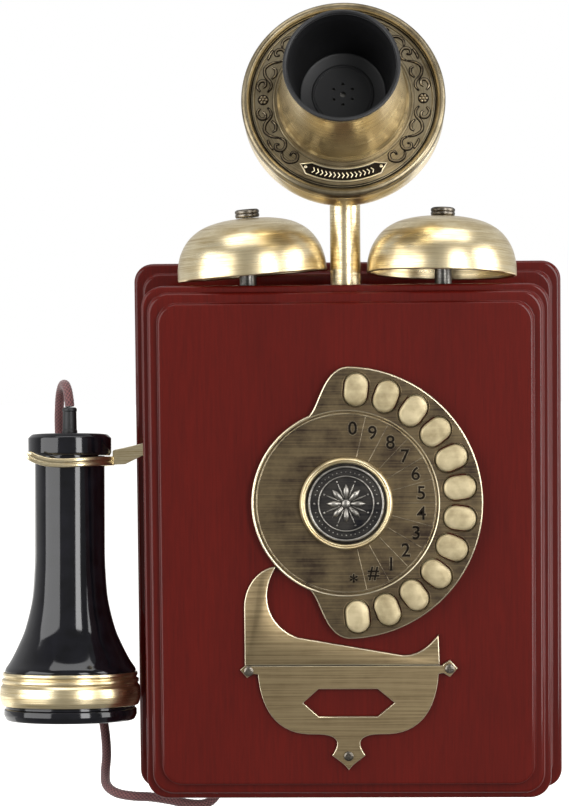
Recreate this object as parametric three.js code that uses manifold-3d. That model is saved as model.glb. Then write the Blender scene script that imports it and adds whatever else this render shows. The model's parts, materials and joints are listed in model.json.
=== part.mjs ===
// Wall telephone: a wooden box with a push-button dial, two gongs, a tilting transmitter on a
// stem and a receiver that hangs from a fork on the left.
// Millimetres. X points right, Y points to the wall and Z up. The wall is the plane y = 0, and
// the origin is the middle of the back board's rear face.
import * as THREE from 'three';
import { mergeVertices } from 'three/addons/utils/BufferGeometryUtils.js';
import Module from 'manifold-3d';

const wasm = await Module();
wasm.setup();

// ---- Fits and facets ----------------------------------------------------------------------------
const GAP = 0.3;               // between two pieces that touch
const SLIDE_GAP = 0.6;         // round a piece that moves in a hole
const WELD = 1e-4;             // vertices nearer than this are one
const FINE = 22;               // sides of a large turned piece
const MEDIUM = 16;             // sides of a middling one
const SMALL = 8;               // sides of a pin or a screw

// ---- Wooden box ---------------------------------------------------------------------------------
const BACK_MARGIN = 21.5;      // back board, wider than the box by this all round
const BACK_THICK = 18;
const BACK_CORNER = 10;
const BACK_STEP_INSET = 5.5;
const BACK_STEP_DEPTH = 8;
const BODY_WIDTH = 190;        // the four boards between back board and front panel
const BODY_HEIGHT = 247;
const BODY_DEPTH = 60;
const BODY_WALL = 9;
const PANEL_MARGIN = 11;       // front panel, wider than the box by this all round
const PANEL_THICK = 18;
const PANEL_CORNER = 11;
const MOULD_STEPS = [[3.5, 9], [9, 14]];      // [inset, height above the panel's rear face]

// ---- Hanger plate in the back board -------------------------------------------------------------
const HANGER_WIDTH = 44;
const HANGER_HEIGHT = 30;
const HANGER_THICK = 1.2;
const HANGER_Z = 112;
const KEYHOLE_RADIUS = 4.2;
const KEYHOLE_SLOT = 4.2;      // width of the slot above the round hole
const KEYHOLE_RISE = 9;
const HEAD_POCKET = [20, 22, 2.1];            // room for the wall screw's head: X, Z and depth

// ---- Dial ---------------------------------------------------------------------------------------
const DIAL_Z = 22.3;
const DIAL_RADIUS = 70.5;      // right half, round the buttons
const DIAL_LEFT_RADIUS = 49;   // left half
const DIAL_NECK_ANGLE = 22.5;  // where the left circle ends, in degrees from the vertical
const DIAL_THICK = 5;
const DIAL_WEB = 1.8;          // metal left over the pocket behind the buttons
const BUTTON_COUNT = 12;
const BUTTON_CIRCLE = 59;
const BUTTON_FIRST = 5.3;      // degrees clockwise from the top
const BUTTON_PITCH = 15.4;
const BUTTON_WIDTH = 12.1;
const BUTTON_LENGTH = 16.5;
const BUTTON_PROUD = 2.7;      // height of the cap above the dial
const BUTTON_TRAVEL = 1.6;
const FLANGE_THICK = 1;        // keeps the button in the dial
const FLANGE_EDGE = 0.9;
const PLUNGER_RADIUS = 3;
const SLOT_EDGE = 1.5;         // clearance of the plungers in the wood
const BEZEL_OUTER = 24;
const BEZEL_INNER = 21;
const BEZEL_HEIGHT = 4.2;
const MEDALLION_THICK = 2.2;
const KEYPAD_THICK = 1.6;
const KEYPAD_SET_BACK = 8;     // from the panel's rear face to the board's front
const SWITCH_RADIUS = 3;
const SWITCH_HEIGHT = 1;

// ---- Ornamental plates --------------------------------------------------------------------------
const PLATE_THICK = 2.5;
const SEAM_DROP = 14.2;        // from the dial's lowest point down to the seam of the plates
const SCREW_HEAD_RADIUS = 2.6;
const SCREW_HEAD_THICK = 1.2;
const SCREW_RADIUS = 1.3;
const SCREW_LENGTH = 9;
const SCREW_SPOTS = { left: [-51.3, -2.8], right: [52.9, -1.8], bottom: [0.3, -47.4] };  // below the seam
const SCREW_SLOT = 0.8;

// ---- Stem and transmitter -----------------------------------------------------------------------
const STEM_RADIUS = 8;
const STEM_BORE = 5;
const STEM_COLLAR_RADIUS = 11;
const STEM_COLLAR_HEIGHT = 4;
const STEM_TAIL = 10;          // below the top board
const PIVOT_RISE = 97;         // from the top board up to the tilting axis
const PIVOT_RADIUS = 2.5;
const TONGUE_WIDTH = 8;
const TONGUE_RADIUS = 6;
const STEM_DROP = 12;          // from the axis down to the stem's top
const LUG_WIDTH = 4;
const TRANSMITTER_TILT = 17;   // degrees that the face looks up at rest
const CUP_RADIUS = 52.2;
const CUP_BACK = 10;           // from the axis forward to the cup's rear wall
const CUP_DEPTH = 20;
const CUP_WALL = 2;
const CUP_SHOULDER = 8;        // radius of the rounded edge at the cup's rear
const RING_HOLE = 27;
const RING_THICK = 2.4;
const RIM_ROLL = 2.2;
const CONE_BASE_RADIUS = 34;
const CONE_RIM_RADIUS = 29.2;
const CONE_LENGTH = 49;
const CONE_WALL = 1.8;
const LINER_WALL = 2;
const LINER_FLOOR = 7;         // from the ring's face forward to the liner's floor
const CAPSULE_RADIUS = 19;
const CAPSULE_DEPTH = 10;

// ---- Gongs and ringer ---------------------------------------------------------------------------
const GONG_RADIUS = 39.5;
const GONG_HEIGHT = 30.3;
const GONG_WALL = 1.9;
const GONG_HOLE = 3.4;
// The dome: share of the radius, share of the height, and the wall's direction outwards and up.
const GONG_CURVE = [
  [0.354, 0.03, 0.2, 1], [0.608, 0.119, 0.37, 0.95], [0.797, 0.281, 0.68, 0.74],
  [0.924, 0.512, 0.9, 0.37], [0.985, 0.759, 1, 0],
];
const GONG_CLEAR = 1.5;        // between a gong and the back board
const GONG_APART = 4;          // between a gong and the stem
const GONG_RISE = 46;          // from the top board up to the top of a gong
const GONG_LEAN = { left: 4.5, right: 1.7 };  // degrees outwards
const GONG_BACK = { left: 1.8, right: 5.5 };  // degrees towards the wall
const POST_RADIUS = 4.5;
const POST_THREAD = 2.4;
const POST_SHOULDER_DROP = 3;
const NUT_RADIUS = 6.4;
const NUT_HEIGHT = 4.3;
const CLAPPER_BEHIND = 15;     // from the stem's axis back to the clapper's
const CLAPPER_DROP = 31.5;     // from the top board down to the clapper's pivot
const CLAPPER_ROD = 1.25;
const CLAPPER_BALL = 5;
const CLAPPER_REACH = 56;      // from the pivot up to the ball
const CLAPPER_SWING = 8;       // degrees to each side
const ARMATURE_HALF = 16;
const COIL_RADIUS = 8;
const COIL_X = 11;
const YOKE_DROP = 40;          // from the clapper's pivot down to the yoke
const YOKE_THICK = 3;

// ---- Receiver, fork and cord --------------------------------------------------------------------
const HANG = [-148.5, -50, 43.5];             // middle of the receiver's flange, underneath
const HANG_TILT = 6;           // degrees that the receiver's lower end stands away from the wall
const FLANGE_OVERHANG = 3.6;   // of the cap's flange past the neck
const CAP_HEIGHT = 11.7;
const NECK_RADIUS = 18.7;
const BELL_RADIUS = 35;        // lower end of the receiver's body
const BODY_LENGTH = 133;
const SHELL_WALL = 3;
// The receiver's flare: share of the way from the neck out to the bell, and share of its length.
const FLARE = [[0, 0.459], [0.092, 0.577], [0.313, 0.688], [0.521, 0.752], [0.779, 0.815], [0.957, 0.847]];
const BAND_HEIGHT = 18.3;
const BAND_RADIUS = 37.2;
const EAR_CAP_RADIUS = 35.3;
const EAR_CAP_HEIGHT = 7.5;
const EAR_DISH_RADIUS = 21;
const EAR_DISH_DEPTH = 5.2;
const SLEEVE_LENGTH = 14;
const SLEEVE_RADIUS = 3.9;
const FORK_WIRE = 2.4;         // half the thickness of a prong
const FORK_CLEAR = 1.2;        // between prong and neck
const FORK_REACH = 20;         // from the neck's middle to the prong's tip
const LEVER_THICK = 3.5;
const HOOK_PIVOT = [-76, 49.4];               // X and Z
const HOOK_PIN = 2;
const HOOK_SLOT_Z = [43.4, 56.6];
const BRACKET_SHEET = 1.5;
const CORD_RADIUS = 2.6;
const CORD_SIDES = 8;
const GLAND = [-70, -60];                     // X and Y
const GLAND_HOLE = 3.8;
const GLAND_NOSE = 5.5;        // below the bottom board
const JACK = [42, -46];                       // X and Y
const JACK_SIZE = [14, 12, 14];
const JACK_MOUTH = [10.4, 7.4, 9];

// ---- Places worked out from the sizes -----------------------------------------------------------
const BACK_WIDTH = BODY_WIDTH + 2 * BACK_MARGIN;
const BACK_HEIGHT = BODY_HEIGHT + 2 * BACK_MARGIN;
const PANEL_WIDTH = BODY_WIDTH + 2 * PANEL_MARGIN;
const PANEL_HEIGHT = BODY_HEIGHT + 2 * PANEL_MARGIN;
const BODY_BACK = -(BACK_THICK + GAP);
const PANEL_BACK = -(BACK_THICK + BODY_DEPTH);
const BODY_FRONT = PANEL_BACK + GAP;
const PANEL_FACE = PANEL_BACK - PANEL_THICK;
const TRIM_BACK = PANEL_FACE - GAP;           // rear face of dial and plates
const DIAL_FACE = TRIM_BACK - DIAL_THICK;
const BODY_TOP = BODY_HEIGHT / 2;
const BODY_SIDE = BODY_WIDTH / 2;
const CEILING = BODY_TOP - BODY_WALL;         // underside of the top board
const SEAM_Z = DIAL_Z - DIAL_RADIUS - SEAM_DROP;
const STEM_Y = -(BACK_THICK + GONG_CLEAR + GONG_RADIUS);
const PIVOT_Z = BODY_TOP + PIVOT_RISE;
const GONG_X = STEM_RADIUS + GONG_APART + GONG_RADIUS;
const GONG_TOP_Z = BODY_TOP + GONG_RISE;
const CLAPPER_Y = STEM_Y + CLAPPER_BEHIND;
const CLAPPER_PIVOT_Z = BODY_TOP - CLAPPER_DROP;
const CLAPPER_BALL_Z = CLAPPER_PIVOT_Z + CLAPPER_REACH;
const YOKE_Z = CLAPPER_PIVOT_Z - YOKE_DROP;
const FLANGE_RADIUS = NECK_RADIUS + FLANGE_OVERHANG;
const FACE_FORWARD = CUP_BACK + CUP_DEPTH + GAP;   // from the tilting axis to the ring
const RING_FACE = FACE_FORWARD + RING_THICK;

// ---- Materials ----------------------------------------------------------------------------------
const paint = (color, roughness, metalness) =>
  new THREE.MeshStandardMaterial({ color, roughness, metalness });
const wood = paint(0x6a1c16, 0.25, 0);
const brass = paint(0xb89b62, 0.35, 1);
const bronze = paint(0x6b5a44, 0.45, 1);
const pewter = paint(0x5c5752, 0.45, 1);
const steel = paint(0x8a8884, 0.4, 1);
const blackGloss = paint(0x101014, 0.15, 0);
const blackMatte = paint(0x18181a, 0.6, 0);
const green = paint(0x1f5a34, 0.5, 0);
const copper = paint(0x9a5a30, 0.4, 1);
const braid = paint(0x5a3034, 0.9, 0);

// ---- Tools that make solids ---------------------------------------------------------------------
const radians = (degrees) => THREE.MathUtils.degToRad(degrees);

function signedVolume(position, index) {
  const corners = [new THREE.Vector3(), new THREE.Vector3(), new THREE.Vector3()];
  let volume = 0;
  for (let i = 0; i < index.length; i += 3) {
    corners.forEach((corner, k) => corner.fromBufferAttribute(position, index[i + k]));
    volume += corners[0].dot(corners[1].cross(corners[2])) / 6;
  }
  return volume;
}

// A closed three.js geometry as a solid that can be joined and cut, with its faces outwards.
function solid(geometry) {
  geometry.deleteAttribute('normal');
  geometry.deleteAttribute('uv');
  const welded = mergeVertices(geometry, WELD);
  const all = welded.index.array;
  const kept = [];
  for (let i = 0; i < all.length; i += 3) {
    const [a, b, c] = [all[i], all[i + 1], all[i + 2]];
    if (a !== b && b !== c && c !== a) kept.push(a, b, c);
  }
  if (signedVolume(welded.attributes.position, kept) < 0) kept.reverse();
  return new wasm.Manifold(new wasm.Mesh({
    numProp: 3,
    vertProperties: new Float32Array(welded.attributes.position.array),
    triVerts: new Uint32Array(kept),
  }));
}

const join = (first, ...others) => others.reduce((sum, other) => sum.add(other), first);
const cut = (first, ...tools) => tools.reduce((rest, tool) => rest.subtract(tool), first);

function block([x0, x1], [y0, y1], [z0, z1]) {
  const box = new THREE.BoxGeometry(Math.abs(x1 - x0), Math.abs(y1 - y0), Math.abs(z1 - z0));
  return solid(box.translate((x0 + x1) / 2, (y0 + y1) / 2, (z0 + z1) / 2));
}

// A round rod from one value to another along an axis, through the point (x, y, z).
function rod(axis, radius, [from, to], [x, y, z], sides = SMALL) {
  const shape = new THREE.CylinderGeometry(radius, radius, Math.abs(to - from), sides);
  const middle = (from + to) / 2;
  if (axis === 'x') shape.rotateZ(Math.PI / 2).translate(middle, y, z);
  if (axis === 'y') shape.translate(x, middle, z);
  if (axis === 'z') shape.rotateX(Math.PI / 2).translate(x, y, middle);
  return solid(shape);
}

// A piece turned round the Z axis from an outline of [radius, height] points.
function turned(outline, sides) {
  const points = outline.map(([r, z]) => new THREE.Vector2(r, z));
  return solid(new THREE.LatheGeometry(points, sides).rotateX(Math.PI / 2));
}

// The same round the -Y axis, from [radius, distance forward] points.
function turnedForward(outline, sides) {
  const points = outline.map(([r, forward]) => new THREE.Vector2(r, -forward));
  return solid(new THREE.LatheGeometry(points, sides));
}

// A flat piece drawn in X and Z and given thickness from yBack forward to yFront.
function plate(shape, yBack, yFront, curveSegments = 8) {
  const options = { depth: yBack - yFront, bevelEnabled: false, curveSegments };
  return solid(new THREE.ExtrudeGeometry(shape, options).rotateX(Math.PI / 2).translate(0, yBack, 0));
}

function roundedRectangle(width, height, radius) {
  const x = width / 2;
  const z = height / 2;
  const shape = new THREE.Shape();
  shape.moveTo(-x + radius, -z);
  shape.lineTo(x - radius, -z);
  shape.absarc(x - radius, -z + radius, radius, -Math.PI / 2, 0, false);
  shape.lineTo(x, z - radius);
  shape.absarc(x - radius, z - radius, radius, 0, Math.PI / 2, false);
  shape.lineTo(-x + radius, z);
  shape.absarc(-x + radius, z - radius, radius, Math.PI / 2, Math.PI, false);
  shape.lineTo(-x, -z + radius);
  shape.absarc(-x + radius, -z + radius, radius, Math.PI, Math.PI * 1.5, false);
  return shape;
}

// A slot with round ends, long in Z.
const stadium = (width, length) => roundedRectangle(width, length, width / 2 - 0.01);

// A tube of round section through a list of points.
function tube(points, radius, sides, steps) {
  const section = new THREE.Shape();
  for (let k = 0; k < sides; k += 1) {
    const angle = (2 * Math.PI * k) / sides;
    const draw = k === 0 ? 'moveTo' : 'lineTo';
    section[draw](radius * Math.cos(angle), radius * Math.sin(angle));
  }
  const path = new THREE.CatmullRomCurve3(points.map((p) => new THREE.Vector3(...p)));
  return solid(new THREE.ExtrudeGeometry(section, { steps, extrudePath: path }));
}

function addPart(parent, name, shape, material) {
  const made = shape.getMesh();
  const geometry = new THREE.BufferGeometry();
  geometry.setAttribute('position', new THREE.BufferAttribute(made.vertProperties, 3));
  geometry.setIndex(new THREE.BufferAttribute(made.triVerts, 1));
  geometry.computeVertexNormals();
  const mesh = new THREE.Mesh(geometry, material);
  mesh.name = name;
  parent.add(mesh);
  return mesh;
}

// ---- Wooden box ---------------------------------------------------------------------------------
function keyhole(yBack, yFront) {
  const round = rod('y', KEYHOLE_RADIUS, [yFront, yBack], [0, 0, HANGER_Z - KEYHOLE_RISE / 2]);
  const half = KEYHOLE_SLOT / 2;
  const top = HANGER_Z + KEYHOLE_RISE / 2;
  return join(round, block([-half, half], [yFront, yBack], [HANGER_Z - KEYHOLE_RISE / 2, top]));
}

function backBoard() {
  const rear = roundedRectangle(BACK_WIDTH, BACK_HEIGHT, BACK_CORNER);
  const inset = 2 * BACK_STEP_INSET;
  const front = roundedRectangle(BACK_WIDTH - inset, BACK_HEIGHT - inset, BACK_CORNER);
  const board = join(
    plate(rear, 0, -(BACK_THICK - BACK_STEP_DEPTH), 5),
    plate(front, -1, -BACK_THICK, 5),
  );
  const halfWidth = HANGER_WIDTH / 2 + GAP;
  const halfHeight = HANGER_HEIGHT / 2 + GAP;
  const seat = HANGER_THICK + 2 * GAP;
  const recess = block(
    [-halfWidth, halfWidth], [-seat, 1], [HANGER_Z - halfHeight, HANGER_Z + halfHeight],
  );
  const [pocketX, pocketZ, pocketDepth] = HEAD_POCKET;
  const pocket = block(
    [-pocketX / 2, pocketX / 2],
    [-(seat + pocketDepth), 0],
    [HANGER_Z - pocketZ / 2, HANGER_Z + pocketZ / 2],
  );
  return cut(board, recess, pocket);
}

function hangerPlate() {
  const sheet = block(
    [-HANGER_WIDTH / 2, HANGER_WIDTH / 2],
    [-(HANGER_THICK + GAP), -GAP],
    [HANGER_Z - HANGER_HEIGHT / 2, HANGER_Z + HANGER_HEIGHT / 2],
  );
  return cut(sheet, keyhole(1, -5));
}

function sideBoard(side) {
  const outer = side * BODY_SIDE;
  const inner = side * (BODY_SIDE - BODY_WALL);
  return block([outer, inner], [BODY_BACK, BODY_FRONT], [-BODY_TOP, BODY_TOP]);
}

function leftBoard() {
  const half = LEVER_THICK / 2 + SLIDE_GAP * 2;
  const through = [-BODY_SIDE - 1, -BODY_SIDE + BODY_WALL + 1];
  const slot = block(through, [HANG[1] - half, HANG[1] + half], HOOK_SLOT_Z);
  return cut(sideBoard(-1), slot);
}

function crossBoard(z0, z1) {
  const half = BODY_SIDE - BODY_WALL - GAP;
  return block([-half, half], [BODY_BACK, BODY_FRONT], [z0, z1]);
}

function topBoard() {
  const through = [CEILING - 1, BODY_TOP + 1];
  const sweep = CLAPPER_DROP * Math.tan(radians(CLAPPER_SWING)) + CLAPPER_ROD + 2;
  return cut(
    crossBoard(CEILING, BODY_TOP),
    rod('z', STEM_RADIUS + GAP, through, [0, STEM_Y, 0], MEDIUM),
    rod('z', POST_THREAD + GAP, through, [-GONG_X, STEM_Y, 0]),
    rod('z', POST_THREAD + GAP, through, [GONG_X, STEM_Y, 0]),
    block([-sweep, sweep], [CLAPPER_Y - 3, CLAPPER_Y + 3], through),
  );
}

function bottomBoard() {
  const through = [-BODY_TOP - 1, -CEILING + 1];
  const [x, y] = JACK;
  const [jackX, jackY] = JACK_SIZE.map((size) => size / 2 + GAP);
  return cut(
    crossBoard(-BODY_TOP, -CEILING),
    rod('z', GLAND_HOLE, through, [...GLAND, 0]),
    block([x - jackX, x + jackX], [y - jackY, y + jackY], through),
  );
}

// The slot in the wood that the button plungers pass through.
function plungerSlot() {
  const half = PLUNGER_RADIUS + SLOT_EDGE;
  const first = radians(90 - BUTTON_FIRST + half);
  const last = radians(90 - BUTTON_FIRST - BUTTON_PITCH * (BUTTON_COUNT - 1) - half);
  const slot = new THREE.Shape();
  slot.absarc(0, DIAL_Z, BUTTON_CIRCLE + half, first, last, true);
  slot.absarc(0, DIAL_Z, BUTTON_CIRCLE - half, last, first, false);
  return plate(slot, PANEL_BACK + 1, PANEL_FACE - 1, 12);
}

function frontPanel() {
  const layers = MOULD_STEPS.map(([inset], k) => {
    const height = k + 1 < MOULD_STEPS.length ? MOULD_STEPS[k + 1][1] : PANEL_THICK;
    const outline = roundedRectangle(PANEL_WIDTH - 2 * inset, PANEL_HEIGHT - 2 * inset, PANEL_CORNER);
    return plate(outline, PANEL_BACK - 1, PANEL_BACK - height, 5);
  });
  const base = plate(
    roundedRectangle(PANEL_WIDTH, PANEL_HEIGHT, PANEL_CORNER), PANEL_BACK, PANEL_BACK - MOULD_STEPS[0][1], 5,
  );
  const deep = [PANEL_FACE - 1, TRIM_BACK + SCREW_LENGTH + GAP];
  const pilots = Object.values(SCREW_SPOTS).map(([x, z]) =>
    rod('y', SCREW_RADIUS + GAP, deep, [x, 0, SEAM_Z + z]));
  return cut(join(base, ...layers), plungerSlot(), ...pilots);
}

// ---- Dial ---------------------------------------------------------------------------------------
function dialOutline() {
  const neck = radians(DIAL_NECK_ANGLE);
  const x = -DIAL_LEFT_RADIUS * Math.sin(neck);
  const z = DIAL_LEFT_RADIUS * Math.cos(neck);
  const top = DIAL_Z + DIAL_RADIUS;
  const bottom = DIAL_Z - DIAL_RADIUS;
  const outline = new THREE.Shape();
  outline.moveTo(x, DIAL_Z + z);
  outline.bezierCurveTo(x + 5.2, DIAL_Z + z + 5.7, x + 7.2, top - 1, 1, top);
  outline.absarc(0, DIAL_Z, DIAL_RADIUS, radians(88), radians(-88), true);
  outline.bezierCurveTo(x + 7.2, bottom + 1, x + 5.2, DIAL_Z - z - 5.7, x, DIAL_Z - z);
  outline.absarc(0, DIAL_Z, DIAL_LEFT_RADIUS, -Math.PI / 2 - neck, -Math.PI * 1.5 + neck, true);
  return outline;
}

const buttonAngle = (k) => radians(BUTTON_FIRST + BUTTON_PITCH * k);

// A stadium prism with its long axis pointing away from the dial's centre.
function radialPrism(k, width, length, yBack, yFront, curveSegments) {
  const angle = buttonAngle(k);
  const options = { depth: yBack - yFront, bevelEnabled: false, curveSegments };
  const prism = new THREE.ExtrudeGeometry(stadium(width, length), options).rotateX(Math.PI / 2);
  prism.translate(0, yBack, BUTTON_CIRCLE).rotateY(angle);
  return solid(prism.translate(0, 0, DIAL_Z));
}

function dialPlate() {
  const half = BUTTON_LENGTH / 2 + FLANGE_EDGE + GAP;
  const first = radians(90 - BUTTON_FIRST + 7);
  const last = radians(90 - BUTTON_FIRST - BUTTON_PITCH * (BUTTON_COUNT - 1) - 7);
  const pocket = new THREE.Shape();
  pocket.absarc(0, DIAL_Z, BUTTON_CIRCLE + half, first, last, true);
  pocket.absarc(0, DIAL_Z, BUTTON_CIRCLE - half, last, first, false);
  const holes = [];
  for (let k = 0; k < BUTTON_COUNT; k += 1) {
    const width = BUTTON_WIDTH + 2 * SLIDE_GAP;
    const length = BUTTON_LENGTH + 2 * SLIDE_GAP;
    holes.push(radialPrism(k, width, length, TRIM_BACK + 1, DIAL_FACE - 1, 2));
  }
  return cut(
    plate(dialOutline(), TRIM_BACK, DIAL_FACE, 12),
    plate(pocket, TRIM_BACK + 1, DIAL_FACE + DIAL_WEB, 12),
    ...holes,
  );
}

// A button in its own frame: Z away from the dial's centre, Y into the box.
function button() {
  const flangeFront = DIAL_FACE + DIAL_WEB + GAP;
  const cap = new THREE.ExtrudeGeometry(stadium(BUTTON_WIDTH - 3, BUTTON_LENGTH - 3), {
    depth: BUTTON_PROUD + DIAL_WEB + 2 * GAP - 1.5,
    bevelThickness: 1.5,
    bevelSize: 1.5,
    bevelSegments: 1,
    curveSegments: 2,
  }).rotateX(Math.PI / 2).translate(0, flangeFront + FLANGE_THICK / 2, 0);
  const flangeWidth = BUTTON_WIDTH + 2 * FLANGE_EDGE;
  const flangeLength = BUTTON_LENGTH + 2 * FLANGE_EDGE;
  const flange = plate(stadium(flangeWidth, flangeLength), flangeFront + FLANGE_THICK, flangeFront, 2);
  const capFront = block([-20, 20], [flangeFront + FLANGE_THICK / 2, -200], [-20, 20]);
  const tip = PANEL_BACK + KEYPAD_SET_BACK - SWITCH_HEIGHT - GAP - BUTTON_TRAVEL;
  const plunger = rod('y', PLUNGER_RADIUS, [flangeFront + FLANGE_THICK / 2, tip], [0, 0, 0]);
  return join(solid(cap).intersect(capFront), flange, plunger);
}

function addButtons(parent) {
  const names = ['0', '9', '8', '7', '6', '5', '4', '3', '2', '1', 'hash', 'star'];
  const shape = button();
  names.forEach((name, k) => {
    const mesh = addPart(parent, `button_${name}`, shape, brass);
    const angle = buttonAngle(k);
    mesh.position.set(BUTTON_CIRCLE * Math.sin(angle), 0, DIAL_Z + BUTTON_CIRCLE * Math.cos(angle));
    mesh.rotation.y = angle;
  });
}

function bezel() {
  const seat = -DIAL_FACE + GAP;
  const outline = [
    [BEZEL_INNER, seat], [BEZEL_OUTER, seat], [BEZEL_OUTER, seat + BEZEL_HEIGHT * 0.55],
    [BEZEL_OUTER - 1, seat + BEZEL_HEIGHT], [BEZEL_INNER + 1, seat + BEZEL_HEIGHT * 0.85],
    [BEZEL_INNER, seat + BEZEL_HEIGHT * 0.6], [BEZEL_INNER, seat],
  ];
  return solidOnDial(outline);
}

function medallion() {
  const seat = -DIAL_FACE + GAP;
  const edge = BEZEL_INNER - GAP;
  return solidOnDial([
    [0, seat], [edge, seat], [edge, seat + MEDALLION_THICK], [edge - 2, seat + MEDALLION_THICK],
    [edge - 2.5, seat + MEDALLION_THICK - 0.5], [0, seat + MEDALLION_THICK - 0.5],
  ]);
}

function solidOnDial(outline) {
  const points = outline.map(([r, forward]) => new THREE.Vector2(r, -forward));
  return solid(new THREE.LatheGeometry(points, MEDIUM).translate(0, 0, DIAL_Z));
}

function keypadBoard() {
  const front = PANEL_BACK + KEYPAD_SET_BACK;
  const right = BUTTON_CIRCLE + 10;
  const board = block([-10, right], [front, front + KEYPAD_THICK], [DIAL_Z - right, DIAL_Z + right]);
  const pieces = [];
  for (let k = 0; k < BUTTON_COUNT; k += 1) {
    const angle = buttonAngle(k);
    const x = BUTTON_CIRCLE * Math.sin(angle);
    const z = DIAL_Z + BUTTON_CIRCLE * Math.cos(angle);
    pieces.push(rod('y', SWITCH_RADIUS, [front - SWITCH_HEIGHT, front + 0.5], [x, 0, z]));
  }
  [-20, 20].forEach((dz) => {
    pieces.push(rod('y', 3.5, [PANEL_BACK + GAP, front + 0.5], [20, 0, DIAL_Z + dz], 8));
  });
  return join(board, ...pieces);
}

// ---- Ornamental plates --------------------------------------------------------------------------
// The upper plate: a swan-like sweep from a tall left horn to a short right one. Both plates are
// drawn with the seam between them at height 0.
function crestPlate() {
  const outline = new THREE.Shape();
  outline.moveTo(-53.4, 0);
  outline.lineTo(-53.4, 30.4);
  outline.bezierCurveTo(-53.4, 41.4, -46, 50.9, -36.5, 51.8);
  outline.bezierCurveTo(-39.5, 46.9, -41.6, 41.4, -41.4, 35.4);
  outline.bezierCurveTo(-41.2, 24.4, -33, 16.9, -25.5, 14.6);
  outline.lineTo(28, 5.3);
  outline.bezierCurveTo(36, 4.4, 42.5, 9.9, 47.3, 16);
  outline.lineTo(47.8, 0);
  return plate(outline, TRIM_BACK, TRIM_BACK - PLATE_THICK, 6).translate([0, 0, SEAM_Z]);
}

// The lower plate: a bowl with a pointed drop below, a lug at each side and a six-sided window.
function windowPlate() {
  const outline = new THREE.Shape();
  outline.moveTo(-53.6, -GAP);
  outline.lineTo(-55.8, -2.2);
  outline.lineTo(-52.2, -6.4);
  outline.lineTo(-48.8, -4.2);
  outline.lineTo(-46.6, -4.6);
  outline.bezierCurveTo(-45, -23.6, -37, -35.1, -21, -36);
  outline.bezierCurveTo(-15, -36.2, -7, -35.6, -5.8, -40.2);
  outline.bezierCurveTo(-5.4, -42.6, -6.6, -44.6, -8.4, -47.2);
  outline.lineTo(0.3, -55);
  outline.lineTo(9, -47.2);
  outline.bezierCurveTo(7.2, -44.6, 6, -42.6, 6.4, -40.2);
  outline.bezierCurveTo(7.6, -35.6, 15.6, -36.2, 21.6, -36);
  outline.bezierCurveTo(37.6, -35.1, 45.6, -23.6, 47.2, -4.6);
  outline.lineTo(49.6, -4.2);
  outline.lineTo(53, -6.2);
  outline.lineTo(57, -1.8);
  outline.lineTo(53, 2.6);
  outline.lineTo(49.6, 0.4);
  outline.lineTo(49.2, -GAP);
  const corners = [
    [-23.2, -19.6], [-15.2, -12.4], [15.5, -12.4], [24.2, -19.6], [15.5, -26.8], [-15.2, -26.8],
  ];
  outline.holes.push(new THREE.Path(corners.map(([x, z]) => new THREE.Vector2(x, z))));
  const front = TRIM_BACK - PLATE_THICK;
  const holes = Object.values(SCREW_SPOTS).map(([x, z]) =>
    rod('y', SCREW_RADIUS + GAP, [TRIM_BACK + 1, front - 1], [x, 0, z]));
  return cut(plate(outline, TRIM_BACK, front, 6), ...holes).translate([0, 0, SEAM_Z]);
}

function plateScrew([x, z]) {
  const seat = TRIM_BACK - PLATE_THICK - GAP;
  const crown = seat - SCREW_HEAD_THICK;
  const head = rod('y', SCREW_HEAD_RADIUS, [seat, crown], [x, 0, z]);
  const shank = rod('y', SCREW_RADIUS, [crown + 0.5, TRIM_BACK + SCREW_LENGTH], [x, 0, z]);
  const half = SCREW_SLOT / 2;
  const slot = block(
    [x - SCREW_HEAD_RADIUS, x + SCREW_HEAD_RADIUS], [crown - 1, crown + 0.5], [z - half, z + half],
  );
  return cut(join(head, shank), slot).translate([0, 0, SEAM_Z]);
}

// ---- Stem and transmitter -----------------------------------------------------------------------
function stem() {
  const top = PIVOT_Z - STEM_DROP;
  const bottom = CEILING - STEM_TAIL;
  const axis = [0, STEM_Y, PIVOT_Z];
  const half = TONGUE_WIDTH / 2;
  const outside = join(
    rod('z', STEM_RADIUS, [bottom, top], axis, MEDIUM),
    rod('z', STEM_COLLAR_RADIUS, [BODY_TOP + GAP, BODY_TOP + GAP + STEM_COLLAR_HEIGHT], axis, MEDIUM),
  );
  const bored = cut(outside, rod('z', STEM_BORE, [bottom - 1, top + 1], axis, SMALL));
  const tongue = join(
    block([-half, half], [STEM_Y - TONGUE_RADIUS, STEM_Y + TONGUE_RADIUS], [top - 8, PIVOT_Z]),
    rod('x', TONGUE_RADIUS, [-half, half], axis, MEDIUM),
  );
  return cut(join(bored, tongue), rod('x', PIVOT_RADIUS + GAP, [-half - 1, half + 1], axis));
}

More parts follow.
